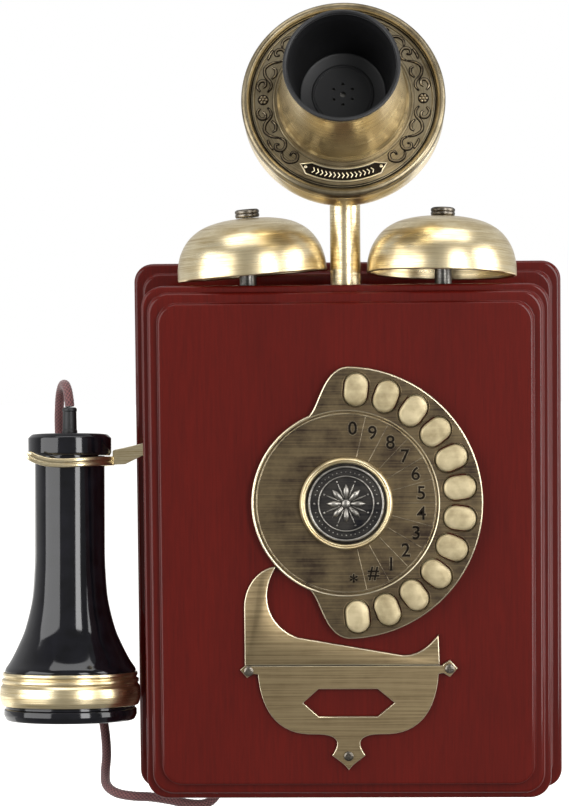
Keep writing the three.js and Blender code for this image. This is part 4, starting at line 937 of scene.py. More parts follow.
# ---- Dial -------------------------------------------------------------------------------------
def dial_outline():
    """Half a small circle on the left, half a large one round the buttons and two necks."""
    neck = radians(DIAL_NECK)
    x, y = -DIAL_LEFT_RADIUS * sin(neck), DIAL_LEFT_RADIUS * cos(neck)
    top = (1, DIAL_RADIUS)
    drawn = [Vector((x, y)), *bezier((x, y), (x + 5.2, y + 5.7), (x + 7.2, DIAL_RADIUS - 1), top)]
    drawn += arc(DIAL_RADIUS, 88, -88, 96)
    low = Vector((1, -DIAL_RADIUS))
    drawn += [low, *bezier(low, (x + 7.2, 1 - DIAL_RADIUS), (x + 5.2, -y - 5.7), (x, -y))]
    return drawn + arc(DIAL_LEFT_RADIUS, 270 - DIAL_NECK, 90 + DIAL_NECK, 72)[1:-1]


def button_places():
    """Each button's name and its angle clockwise from the top."""
    centre = middle("dial_bezel")
    names = [node for node in frame["nodes"] if node.startswith("button_")]
    return {name: atan2(middle(name).x - centre.x, middle(name).z - centre.z) for name in names}


def radial(angle, radius):
    """A frame in the dial's own frame, at a radius, with Y pointing away from the centre."""
    return Matrix.Rotation(-angle, 4, "Z") @ Matrix.Translation((0, radius * MM, 0))


def make_dial(context):
    """The dial plate with its rims, lines and digits."""
    dial = context.scene.telephone_dial
    centre = middle("dial_bezel")
    rear = span("dial_plate")[1].y
    place = facing(rear, centre.x, centre.z)
    bronze, worn = finish("dial_bronze", dial_bronze), finish("worn_metal", worn_metal)
    face = DIAL_THICK
    groove = turned("cutter", [(46.7, face - 0.7), (47.6, face - 0.7), (47.6, face + 1), (46.7, face + 1),
                               (46.7, face - 0.7)], Matrix(), sides=FINE)
    cutters = [groove]
    angles = button_places()
    for angle in angles.values():
        hole = slab("cutter", stadium(13.3, 17.7), 9, Matrix.Translation((0, 0, -2 * MM)) @ radial(angle, 59))
        cutters.append(hole)
    parts = [slab("dial_plate", dial_outline(), DIAL_THICK, Matrix(), bronze, worn, edge=1.1, segments=3,
                  cutters=cutters)]
    rubbed, tarnish = finish("rubbed_metal", rubbed_metal), finish("tarnished_metal", tarnished_metal)
    for angle in angles.values():
        rim = [(x, y, face) for x, y in stadium(14.1, 18.5)]
        parts.append(bead("rim", rim, 0.3, bronze, radial(angle, 59), closed=True))
    parts.append(bead("circle", [(x, y, face) for x, y in arc(46.1, 0, 357, 119)], 0.36, rubbed, closed=True))
    order = sorted(angles.values())
    for before, after in zip(order, order[1:]):
        half = (before + after) / 2
        line = [(0, radius, face) for radius in (24.5, 35, 45.8)]
        parts.append(bead("line", line, dial.line / MM, rubbed, radial(half, 0)))
    for name, angle in angles.items():
        mark = {"hash": "#", "star": "*"}.get(name.split("_")[1], name.split("_")[1])
        reach = dial.digit_circle
        spot = Matrix.Translation((reach * sin(angle), reach * cos(angle), face * MM))
        parts.append(digit(mark, dial, spot, 0.42, 0.6, rubbed))
        parts.append(digit(mark, dial, spot, 0.02, 1, tarnish))
    piece = join("dial_plate", *parts)
    piece.data.transform(place)
    belong(piece, "root", "dark_bronze", "dial_plate")


def digit(mark, dial, place, grow, rise, material):
    """One raised digit, grown by a width in millimetres, at a share of the relief's height."""
    deselect()
    bpy.ops.object.text_add()
    text = bpy.context.object
    text.data.body = mark
    text.data.size = dial.digit_height * 1.35
    text.data.resolution_u = 4
    text.data.extrude = dial.relief * rise * 0.8
    text.data.bevel_depth = dial.relief * rise * 0.2
    text.data.bevel_resolution = 1
    text.data.offset = grow * MM
    bpy.ops.object.convert(target="MESH")
    piece = bpy.context.object
    low, high = ([pick_of(vertex.co[k] for vertex in piece.data.vertices) for k in range(2)]
                 for pick_of in (min, max))
    piece.data.transform(place @ Matrix.Translation((-(low[0] + high[0]) / 2, -(low[1] + high[1]) / 2, 0)))
    piece.data.materials.append(material)
    return piece


def make_buttons(context):
    """Twelve domed caps, each with its flange and plunger, on its own body."""
    centre = middle("dial_bezel")
    face = span("dial_plate")[0].y
    cream = finish("satin_pale_brass", satin_pale_brass)
    base, proud = -2.4, 2.7
    cap = slab("cap", stadium(12.1, 16.5), proud - base, Matrix.Translation((0, 0, base * MM)), cream,
               edge=1.7, segments=5, angle=80)
    pick(cap)
    bpy.ops.object.mode_set(mode="EDIT")
    select_where(cap, lambda found: found.normal.z > 0.99 and len(found.verts) > 8)
    for inset, lift in ((0.9, 0.22), (1.1, 0.14), (1.1, 0.05)):
        bpy.ops.mesh.inset(thickness=inset * MM, depth=0)
        bpy.ops.transform.translate(value=(0, 0, lift * MM))
    bpy.ops.object.mode_set(mode="OBJECT")
    flange = slab("flange", stadium(13.9, 18.3), 1, Matrix.Translation((0, 0, (base - 1.1) * MM)), cream)
    tip = face - span("button_0")[1].y
    plunger = turned("plunger", [(0, base - 0.3), (3, base - 0.3), (3, tip + 0.4, 0.3), (2.5, tip), (0, tip)],
                     Matrix(), cream, sides=SMALL)
    model = join("button", cap, flange, plunger)
    for name, angle in button_places().items():
        twin = copy_of(model, name, facing(face, centre.x, centre.z) @ radial(angle, 59))
        belong(twin, name, "pale_brass", name)
    bpy.data.objects.remove(model, do_unlink=True)


def make_medallion(context):
    """The dial's bezel, and the medallion with a rosette and a ring of beads."""
    centre = middle("dial_bezel")
    place = facing(span("dial_plate")[0].y, centre.x, centre.z)
    bezel = turned("dial_bezel", eased([
        (21, 0.3), (24, 0.3), (24, 3.1, 0.9), (22.8, 4.6, 0.7), (22.2, 3.7, 0.2), (21.7, 4.1, 0.3),
        (21, 3.2, 0.3), (21, 0.3)]), place, finish("bezel_brass", brass, place), sides=FINE)
    belong(bezel, "root", "antique_brass", "dial_bezel")
    ground, light = finish("pewter_ground", pewter_ground), finish("pewter_relief", pewter_relief)
    parts = [turned("dial_medallion", eased([
        (0, 0.3), (20.7, 0.3), (20.7, 1.6, 0.2), (20.1, 1.7), (19.8, 2.5, 0.3), (18.3, 2.5, 0.3), (18, 1.8),
        (14.9, 1.8), (14.7, 2.4, 0.2), (13.8, 2.4, 0.2), (13.5, 1.6), (0, 1.6)]), Matrix(), ground,
        sides=FINE)]
    for radius, width in ((19.1, 0.7), (14.2, 0.42)):
        ring = [(x, y, 2.2) for x, y in arc(radius, 0, 357, 95)]
        parts.append(bead("ring", ring, width, light, closed=True))
    petals = 8
    for k in range(petals):
        turn = Matrix.Rotation(2 * pi * k / petals, 4, "Z")
        between = Matrix.Rotation(2 * pi * (k + 0.5) / petals, 4, "Z")
        leaf = through([(0, 2.6, 1.6), (0, 5.5, 2), (0, 8, 1.9), (0, 10, 1.6)], 3)
        parts.append(bead("petal", leaf, 1.5, light, turn,
            [0.45, 0.7, 0.9, 1, 1.05, 1, 0.85, 0.6, 0.35, 0.1]))
        vein = through([(0, 3.5, 1.6), (0, 7, 1.7), (0, 11, 1.6)], 3)
        parts.append(bead("vein", vein, 0.45, light, between, [0.5, 0.7, 0.9, 1, 0.9, 0.7, 0.4]))
        parts.append(ball("seed", (0, 12.2, 1.6), 0.55, 0.5, light, between))
    parts.append(ball("boss", (0, 0, 1.7), 2.3, 1.1, light))
    beads = 44
    for k in range(beads):
        angle = 360 * k / beads
        at_side = min(angle % 180, 180 - angle % 180) < 9
        if not at_side or angle % 180 == 0:
            size = 0.75 if at_side else 0.36
            spot = Vector((16.4 * cos(radians(angle)), 16.4 * sin(radians(angle)), 1.8))
            parts.append(ball("bead", spot, size, size, light))
    piece = join("dial_medallion", *parts)
    piece.data.transform(place)
    belong(piece, "root", "dark_pewter", "dial_medallion")


# ---- Ornamental plates ------------------------------------------------------------------------
def crest_outline():
    """A sweep from a tall left horn to a short right one; heights are above the seam."""
    horn, hollow, foot = (-53.4, 30.4), (-41.4, 35.4), (-25.5, 14.6)
    tip, rise, right = (-36.5, 51.8), (28, 5.3), (47.3, 16)
    return [Vector((-53.4, 0)), Vector(horn), *bezier(horn, (-53.4, 41.4), (-46, 50.9), tip),
            *bezier(tip, (-39.5, 46.9), (-41.6, 41.4), hollow),
            *bezier(hollow, (-41.2, 24.4), (-33, 16.9), foot), Vector(rise),
            *bezier(rise, (36, 4.4), (42.5, 9.9), right), Vector((47.8, 0))]


def window_outline():
    """A bowl with a lug at each side and a pointed drop below; heights are above the seam."""
    left, right = (-46.6, -4.6), (47.2, -4.6)
    neck_left, neck_right = (-5.8, -40.2), (6.4, -40.2)
    return [Vector(p) for p in ((-53.6, -0.3), (-55.8, -2.2), (-52.2, -6.4), (-48.8, -4.2), left)] + [
        *bezier(left, (-45, -23.6), (-37, -35.1), (-21, -36)),
        *bezier((-21, -36), (-15, -36.2), (-7, -35.6), neck_left),
        *bezier(neck_left, (-5.4, -42.6), (-6.6, -44.6), (-8.4, -47.2)),
        *bezier((-8.4, -47.2), (-5.6, -49.4), (-1.4, -52), (0.3, -55)),
        *bezier((0.3, -55), (2, -52), (6.2, -49.4), (9, -47.2)),
        *bezier((9, -47.2), (7.2, -44.6), (6, -42.6), neck_right),
        *bezier(neck_right, (7.6, -35.6), (15.6, -36.2), (21.6, -36)),
        *bezier((21.6, -36), (37.6, -35.1), (45.6, -23.6), right),
        *(Vector(p) for p in ((49.6, -4.2), (53, -6.2), (57, -1.8), (53, 2.6), (49.6, 0.4), (49.2, -0.3)))]


def make_plates(context):
    """The crest plate and the plate with the six-sided window."""
    ease = context.scene.telephone_metal.ease / MM
    sheet, worn = finish("plate_brass", plate_brass), finish("worn_metal", worn_metal)
    place = facing(span("crest_plate")[1].y, 0, SEAM)
    crest = slab("crest_plate", crest_outline(), PLATE_THICK, place, sheet, worn, edge=ease, segments=2)
    belong(crest, "root", "antique_brass", "crest_plate")
    window = slab("cutter", [(-23.2, -19.6), (-15.2, -12.4), (15.5, -12.4), (24.2, -19.6), (15.5, -26.8),
                             (-15.2, -26.8)], 8, Matrix.Translation((0, 0, -2 * MM)))
    cutters = [window]
    for node in ("plate_screw_left", "plate_screw_right", "plate_screw_bottom"):
        spot = middle(node)
        cutters.append(turned("cutter", [(0, -2), (1.6, -2), (1.6, 6), (0, 6)],
                              Matrix.Translation((spot.x * MM, 0, 0)) @ Matrix.Translation(
                                  (0, (spot.z - SEAM) * MM, 0)), sides=SMALL))
    plate = slab("window_plate", window_outline(), PLATE_THICK, place, sheet, worn, edge=ease * 0.75,
                 segments=2, cutters=cutters)
    belong(plate, "root", "antique_brass", "window_plate")


def make_screws(context):
    """The three small cross-headed screws of the window plate."""
    low, high = span("plate_screw_left")
    depth = high.y - low.y
    dark = finish("tarnished_steel", tarnished_steel)
    model = turned("screw", eased([
        (0, 0), (1, 0.8), (1.25, 1.6), (1.25, depth - 1.3), (2.55, depth - 1.2, 0.1), (2.5, depth - 0.6, 0.4),
        (1.6, depth - 0.1, 0.6), (0, depth)]), Matrix(), dark, sides=SMALL)
    for size in ((1.7, 0.34), (0.34, 1.7)):
        cut(model, hidden_block((-size[0], -size[1], depth - 0.8), (size[0], size[1], depth + 1)))
    for side in ("left", "right", "bottom"):
        spot = middle(f"plate_screw_{side}")
        twin = copy_of(model, f"plate_screw_{side}", facing(high.y, spot.x, spot.z))
        belong(twin, "root", "antique_brass", f"plate_screw_{side}")
    bpy.data.objects.remove(model, do_unlink=True)


# ---- Stem and transmitter ---------------------------------------------------------------------
def make_stem(context):
    """The tube that carries the transmitter, with its collar and flattened tongue."""
    low, high = span("stem")
    y = (low.y + high.y) / 2
    board = span("top_board")[1].z
    place = Matrix.Translation((0, y * MM, 0))
    material = finish("stem_brass", brass, place)
    top = high.z - 18
    tube = turned("stem", eased([
        (5, low.z), (8, low.z), (8, board + GAP), (11, board + GAP, 0.3), (11, board + 3.2, 1.2),
        (8.6, board + 4.3, 0.5), (8, board + 5), (8, top, 1.2), (5, top), (5, low.z)]), place, material,
        sides=MEDIUM)
    pivot = head_frame().to_translation() / MM
    outline = [Vector((-6, top - 8 - pivot.z)), Vector((6, top - 8 - pivot.z)), *arc(6, 0, 180, 24)]
    hole = turned("cutter", [(0, -2), (2.8, -2), (2.8, 12), (0, 12)], Matrix(), sides=SMALL)
    side_on = Matrix.Translation((pivot + Vector((-4, 0, 0))) * MM) @ Matrix.Rotation(
        pi / 2, 4, "Y") @ Matrix.Rotation(pi / 2, 4, "Z")
    tongue = slab("tongue", outline, 8, side_on, material, edge=0.6, cutters=[hole])
    belong(join("stem", tube, tongue), "root", "antique_brass", "stem")


def polar(degrees, radius, forward):
    """A point on the ring, at an angle from its right-hand side towards its top."""
    return Vector((radius * cos(radians(degrees)), radius * sin(radians(degrees)), forward))


def vine(strokes, forward, place, material, tarnish):
    """Raised strokes given as ((angle, radius) points, thickness). Each swells and tapers, and
    stands on a wider, tarnished stroke."""
    parts = []
    for points, thick in strokes:
        line = through([polar(angle, radius, forward) for angle, radius in points], 5)
        swell = [0.4 + 0.7 * sin(pi * step / (len(line) - 1)) ** 0.7 for step in range(len(line))]
        parts.append(bead("stroke", line, thick, material, place, swell, rings=1))
        wide = thick + 0.8
        under = [point - Vector((0, 0, wide * width - 0.4)) for point, width in zip(line, swell)]
        parts.append(bead("ground", under, wide, tarnish, place, swell, rings=1))
    return parts


def ring_relief(place, material, tarnish):
    """Scrolls with leaves on both sides of a rosette, mirrored left to right."""
    half = [
        ([(6, 39.2), (10, 37.8), (14, 38.6), (18, 42.2), (23, 43.8), (28, 42), (32, 38.8)], 0.5),
        ([(32, 38.8), (36, 37.4), (40, 38.8), (41, 41.6), (38, 43.6), (35, 42.4), (36.6, 40.6)], 0.5),
        ([(6, 43), (9, 44.8), (13, 44), (14, 41.6), (11, 40.8), (9, 42)], 0.6),
        ([(17, 38.6), (21, 37.4), (25, 38.4), (25.6, 40.4)], 0.45),
        ([(41, 41.6), (45, 44.2), (50, 44), (53.6, 41), (51.6, 38), (47.6, 38.4), (48, 41)], 0.5),
        ([(29, 44.4), (33, 45), (37, 45)], 0.4),
    ]
    crown = [
        ([(57, 44), (62, 44.6), (67, 42.6), (70, 39.4), (67.5, 37.4), (64.4, 38.6), (65.6, 41)], 0.5),
        ([(70, 39.4), (75, 38), (80, 40), (84, 43.4), (88, 44.4)], 0.5),
    ]
    below = [([(-angle, radius) for angle, radius in points], thick) for points, thick in half]
    right = half + below + crown
    left = [([(180 - angle, radius) for angle, radius in points], thick) for points, thick in right]
    parts = vine(right + left, 32.8, place, material, tarnish)
    for centre in (0, 180):
        parts.append(ball("ground", polar(centre, 41.2, 32.6), 2.9, 0.25, tarnish, place))
        for k in range(6):
            spot = polar(centre, 41.2, 32.75) + Vector((1.6 * cos(pi * k / 3), 1.6 * sin(pi * k / 3), 0))
            parts.append(ball("petal", spot, 0.72, 0.5, material, place))
        parts.append(ball("eye", polar(centre, 41.2, 32.8), 0.8, 0.7, material, place))
    return parts


def cartouche(place, material, tarnish):
    """A dark tablet at the bottom of the ring, with a border, a dot at each end and a chevron row."""
    bottom, wide = -90, 30
    middle_radius = 41.2

    def border(out, near, reach, height):
        lower = arc(out, bottom - reach + 4, bottom + reach - 4, 24)
        upper = arc(near, bottom + reach - 5, bottom - reach + 5, 24)
        right = [polar(bottom + reach - 2, out - 1.4, 0).to_2d(),
            polar(bottom + reach + 2.6, middle_radius, 0)
                 .to_2d(), polar(bottom + reach - 2, near + 1.4, 0).to_2d()]
        left = [polar(bottom - reach + 2, near + 1.4, 0).to_2d(),
            polar(bottom - reach - 2.6, middle_radius, 0)
                .to_2d(), polar(bottom - reach + 2, out - 1.4, 0).to_2d()]
        return [(x, y, height) for x, y in [*lower, *right, *upper, *left]]

    ground = [(x, y) for x, y, _ in border(44.6, 37.4, wide + 0.6, 0)]
    parts = [slab("ground", ground, 0.35, place @ Matrix.Translation((0, 0, 32.5 * MM)), tarnish)]
    parts.append(bead("border", border(44.3, 37.7, wide, 32.85), 0.4, material, place, closed=True))
    for side in (-1, 1):
        parts.append(ball("dot", polar(bottom + side * 28, middle_radius, 32.8), 0.9, 0.7, material, place))
    count = 15
    for k in range(count):
        angle = bottom + 21.5 * (2 * k / (count - 1) - 1)
        stroke = [polar(angle - 0.9, 39.8, 32.85), polar(angle + 0.5, 41.2, 32.9),
            polar(angle - 0.9, 42.6, 32.85)]
        parts.append(bead("chevron", stroke, 0.3, material, place))
    return parts


def make_transmitter(context):
    """Cup, ring, mouthpiece cone and liner, and the pivot screw, all on the tilting body."""
    place = head_frame()
    material = finish("transmitter_brass", brass, place)
    cup = turned("transmitter_cup", eased([
        (0, 10), (52.2, 10, 7.5), (52.2, 26.6, 0.4), (51.6, 27, 0.2), (52.2, 27.4, 0.4), (52.2, 30),
        (50.2, 30),
        (50.2, 12, 5.5), (0, 12)]), place, material, sides=FINE)
    lugs = []
    for side in (-1, 1):
        outline = [Vector((11.5, -6)), Vector((11.5, 6)), *arc(6, 90, 270, 24)]
        hole = turned("cutter", [(0, -2), (2.8, -2), (2.8, 8), (0, 8)], Matrix(), sides=SMALL)
        start = 4.3 if side > 0 else -8.3
        turn = Matrix(((0, 0, 1, start * MM), (0, 1, 0, 0), (1, 0, 0, 0), (0, 0, 0, 1)))
        lug = slab("lug", outline, 4, place @ turn, material, edge=0.5, cutters=[hole])
        pick(lug)
        bpy.ops.object.mode_set(mode="EDIT")
        bpy.ops.mesh.select_all(action="SELECT")
        bpy.ops.mesh.normals_make_consistent(inside=False)
        bpy.ops.object.mode_set(mode="OBJECT")
        lugs.append(lug)
    belong(join("transmitter_cup", cup, *lugs), "transmitter", "antique_brass", "transmitter_cup")

    roll = arc(2.2, 0, 180, 12, (50.4, 32.7))
    face = eased([(48.2, 32.7), (47.5, 32.0, 0.2), (46.9, 32.0, 0.2), (46.6, 33.1, 0.3), (45.9, 33.1, 0.3),
                  (45.6, 32.6), (36.2, 32.6), (35.9, 33.1, 0.2), (35.3, 33.1, 0.2), (35.0, 32.6), (27, 32.6),
                  (27, 30.3)])
    khaki = finish("ring_brass", ring_brass, place)
    ring = turned("transmitter_ring", [(27, 30.3), (52.6, 30.3), *roll, *face[1:]], place, khaki, sides=FINE)
    raised = finish("rubbed_metal", rubbed_metal)
    tarnish = finish("tarnished_metal", tarnished_metal)
    lines = [bead("line", [(x, y, 32.3) for x, y in arc(radius, 0, 357, 119)], 0.34, tarnish, place,
        closed=True)
             for radius in (36.5, 46.3, 47.7)]
    ring = join("transmitter_ring", ring, *lines, *ring_relief(place, raised, tarnish),
                *cartouche(place, finish("worn_metal", worn_metal), tarnish))
    belong(ring, "transmitter", "antique_brass", "transmitter_ring")

    base, rim = 33.0, 81.7
    cone = turned("mouthpiece_cone", eased([
        (31.2, base), (34, base, 0.2), (34, base + 1.6, 0.5), (32.7, base + 4, 1.5), (28.7, rim - 4, 2),
        (29.2, rim, 0.3), (27.4, rim), (30.8, base + 4), (31.2, base)]), place,
        finish("transmitter_brass", brass, place), sides=FINE, angle=25)
    belong(cone, "transmitter", "antique_brass", "mouthpiece_cone")

    floor, lip = 39.7, 82.0
    liner = turned("mouthpiece_liner", eased([
        (1.5, floor - 2), (24.1, floor - 2), (26.8, lip - 5), (27.1, lip), (29.4, lip, 0.3),
        (29.4, lip + 1, 0.5), (28.5, lip + 1.3, 0.4), (27.6, lip + 0.6, 0.6), (26.2, lip - 5, 4),
        (22.1, floor + 1, 1.5), (16, floor, 0.3), (15.6, floor + 0.4, 0.1), (14.8, floor + 0.4, 0.1),
        (14.4, floor, 0.3),
        (1.5, floor), (1.5, floor - 2)]), place, finish("satin_black", satin_black), sides=FINE, angle=50)
    for k in range(6):
        spot = polar(60 * k + 30, 5.5, 0)
        cut(liner, turned("cutter", [(0, floor - 3), (0.8, floor - 3), (0.8, floor + 2), (0, floor + 2)],
                          place @ Matrix.Translation(spot * MM), sides=16))
    belong(liner, "transmitter", "black_matte_plastic", "mouthpiece_liner")

    across = Matrix(((0, 0, 1, 0), (1, 0, 0, 0), (0, 1, 0, 0), (0, 0, 0, 1)))
    screw = turned("pivot_screw", eased([
        (0, -9.6), (2.5, -9.6), (2.5, 8.6), (4.5, 8.6, 0.2), (4.5, 10.9, 1.2), (0, 11.6)]), place @ across,
        finish("satin_nickel_steel", satin_nickel_steel), sides=SMALL)
    nut = slab("nut", arc(4.6, 0, 300, 5), 2.6, place @ across @ Matrix.Translation((0, 0, -11.2 * MM)),
               finish("satin_nickel_steel", satin_nickel_steel), edge=0.5)
    belong(join("pivot_screw", screw, nut), "transmitter", "plated_steel", "pivot_screw")


# ---- Gongs and clapper ------------------------------------------------------------------------
def gong_frame(side, sign):
    lean, back = (radians(value) for value in GONG_LEAN[side])
    spot = Vector((sign * GONG_X, middle("stem").y, GONG_TOP)) * MM
    return Matrix.Translation(spot) @ Matrix.Rotation(-back, 4, "X") @ Matrix.Rotation(sign * lean, 4, "Y")


def make_gongs(context):
    """Two spun gongs on their posts, each held by a round nut."""
    outside = through([(3.4, 0), (14, -0.9), (24, -3.6), (31.5, -8.5), (36.5, -15.5), (38.9, -23),
        (39.5, -30)], 7)
    inside = through([(37.8, -29.9), (37, -23), (34.8, -16.2), (30.2, -9.9), (23.3, -5.4), (13.6, -2.8),
                      (3.4, -1.9)], 5)
    rolled = arc(0.86, 0, -180, 8, (38.65, -30))
    steel = finish("satin_nickel_steel", satin_nickel_steel)
    for side, sign in (("left", -1), ("right", 1)):
        place = gong_frame(side, sign)
        shell = turned(f"gong_{side}", [*outside[:-1], *rolled, *inside[1:], (3.4, 0)], place,
                       finish(f"gong_brass_{side}", brass, place))
        belong(shell, "root", "antique_brass", f"gong_{side}")
        nut = turned(f"gong_nut_{side}", eased([
            (3, 0.3), (6.1, 0.3, 0.2), (6.4, 1, 0.3), (6.4, 1.9, 0.2), (6.0, 2.3, 0.1), (6.4, 2.7, 0.2),
            (6.4, 3.9, 0.4), (5.4, 4.6, 0.4), (2.6, 4.6), (2.2, 4.2), (0, 4.2), (0, 3.6), (3, 3.6),
            (3, 0.3)]),
            place, finish("tarnished_steel", tarnished_steel), sides=SMALL * 2)
        belong(nut, "root", "plated_steel", f"gong_nut_{side}")
        low, high = span(f"gong_post_{side}")
        board = span("top_board")[1].z
        shoulder = high.z - 6
        post = turned(f"gong_post_{side}", eased([
            (0, low.z), (2.4, low.z), (2.4, board + GAP), (4.5, board + GAP, 0.3), (4.5, board + 3, 0.3),
            (3.9, board + 3.6), (3.9, board + 4.4), (4.5, board + 5, 0.3), (4.5, shoulder, 0.5),
            (2.4, shoulder), (2.4, high.z, 0.5), (0, high.z)]),
            Matrix.Translation(Vector((sign * GONG_X, middle("stem").y, 0)) * MM), steel, sides=SMALL)
        belong(post, "root", "plated_steel", f"gong_post_{side}")


def make_clapper(context):
    """The striker: ball, rod, hub, armature and pin."""
    pivot = next(joint for joint in frame["joints"] if joint["name"] == "clapper_swing")["pos_m"]
    place = Matrix.Translation(pivot)
    steel = finish("satin_nickel_steel", satin_nickel_steel)
    knob = [(5 * sin(radians(a)), 56 - 5 * cos(radians(a))) for a in range(15, 181, 11)]
    striker = turned("clapper", [(0, 0), (1.25, 0), (1.25, 50.6), *knob[1:], (0, 61)], place, steel,
        sides=SMALL)
    lying = Matrix.Rotation(pi / 2, 4, "X")
    hub = turned("hub", eased([(0, -8.5), (4, -8.5, 0.5), (4, 8.5, 0.5), (0, 8.5)]), place @ lying, steel,
                 sides=SMALL)
    pin = turned("pin", eased([(0, -11), (1.5, -11, 0.3), (1.5, 13, 0.3), (0, 13)]), place @ lying, steel,
                 sides=SMALL)
    armature = block("armature", (-16, -7, -8), (16, 7, -5), 0.5, steel, place=place)
    web = block("web", (-3, -7, -6), (3, 7, 0), 0.3, steel, place=place)
    belong(join("clapper", striker, hub, pin, armature, web), "clapper", "plated_steel", "clapper")


# ---- Fork -------------------------------------------------------------------------------------
def prong(side, material):
    """One prong of the fork: a strip with a groove along it, bent round the receiver's neck."""
    radius, slope = 22.3, tan(HANG_TILT)
    low = HANG.z - 4.2

    def spot(dx, dy, z):
        return Vector((HANG.x + dx, HANG.y + side * dy, z - side * dy * slope))

    bend = [spot(radius * cos(radians(a)), radius * sin(radians(a)), low + 1.2 * cos(radians(a)))
            for a in (0, 22.5, 45, 67.5, 90)]
    line = through([*bend, spot(-8, radius + 0.2, low + 0.4), spot(-15, radius + 0.4, low + 2.2),
                    spot(-20, radius + 0.5, low + 5)], 6)
    deselect()
    bpy.ops.curve.primitive_nurbs_path_add()
    piece = bpy.context.object
    piece.name = "prong"
    curve = piece.data
    curve.splines.clear()
    path = curve.splines.new("POLY")
    path.points.add(len(line) - 1)
    for k, (knot, point) in enumerate(zip(path.points, line)):
        knot.co = (*(point * MM), 1)
        knot.radius = 1 if k < len(line) - 3 else (0.94, 0.78, 0.5)[k - len(line) + 3]
    curve.twist_mode = "Z_UP"
    section = strip_section()
    curve.bevel_mode = "OBJECT"
    curve.bevel_object = section
    curve.use_fill_caps = True
    pick(piece)
    bpy.ops.object.convert(target="MESH")
    piece = bpy.context.object
    piece.data.materials.append(material)
    bpy.data.objects.remove(section, do_unlink=True)
    pick(piece)
    bpy.ops.object.mode_set(mode="EDIT")
    outward()
    return settle(piece, Matrix(), angle=50)


def strip_section():
    """The strip's cross-section: 3.4 mm thick and 5 mm high, with a shallow groove on each side."""
    deselect()
    bpy.ops.curve.primitive_nurbs_path_add()
    piece = bpy.context.object
    curve = piece.data
    curve.dimensions = "2D"
    curve.splines.clear()
    outline = eased([(1.7, 2.4, 0.8), (1.7, 0.8, 0.3), (1.25, 0, 0.4), (1.7, -0.8, 0.3), (1.7, -2.4, 0.8),
                     (-1.7, -2.4, 0.8), (-1.7, -0.8, 0.3), (-1.25, 0, 0.4), (-1.7, 0.8, 0.3),
                     (-1.7, 2.4, 0.8)],
                    True)
    line = curve.splines.new("POLY")
    line.points.add(len(outline) - 1)
    for knot, point in zip(line.points, outline):
        knot.co = (point.x * MM, point.y * MM, 0, 1)
    line.use_cyclic_u = True
    return piece


def make_hook(context):
    """The lever with its fork."""
    material = finish("fork_brass", brass)
    pivot = Vector(next(joint for joint in frame["joints"] if joint["name"] == "hook_rise")["pos_m"]) / MM
    flange_edge = HANG.x + 23.1
    end, under = flange_edge - 2.2, HANG.z - 0.6
    outline = [(end, under - 4.4), (end + 9, under - 4), (end + 19, pivot.z - 5.6),
        (pivot.x - 8, pivot.z - 4),
               (pivot.x + 20, pivot.z - 3.4), (pivot.x + 20, pivot.z - 0.4), (pivot.x + 6, pivot.z + 4.6, 2),
               (pivot.x - 8, pivot.z + 4.6, 2), (end + 19, pivot.z + 0.6, 3), (end + 9, under + 4.8, 3),
               (flange_edge, under + 3.4, 1), (flange_edge, under), (end, under)]
    hole = turned("cutter", [(0, -2), (2.3, -2), (2.3, 6), (0, 6)],
                  Matrix.Translation((pivot.x * MM, pivot.z * MM, 0)), sides=SMALL)
    strap = slab("hook_lever", eased(outline, True), 3.5, facing(HANG.y + 1.75), material,
                 finish("worn_metal", worn_metal), edge=0.5, cutters=[hole])
    piece = join("hook_lever", strap, prong(-1, material), prong(1, material))
    belong(piece, "hook", "antique_brass", "hook_lever")


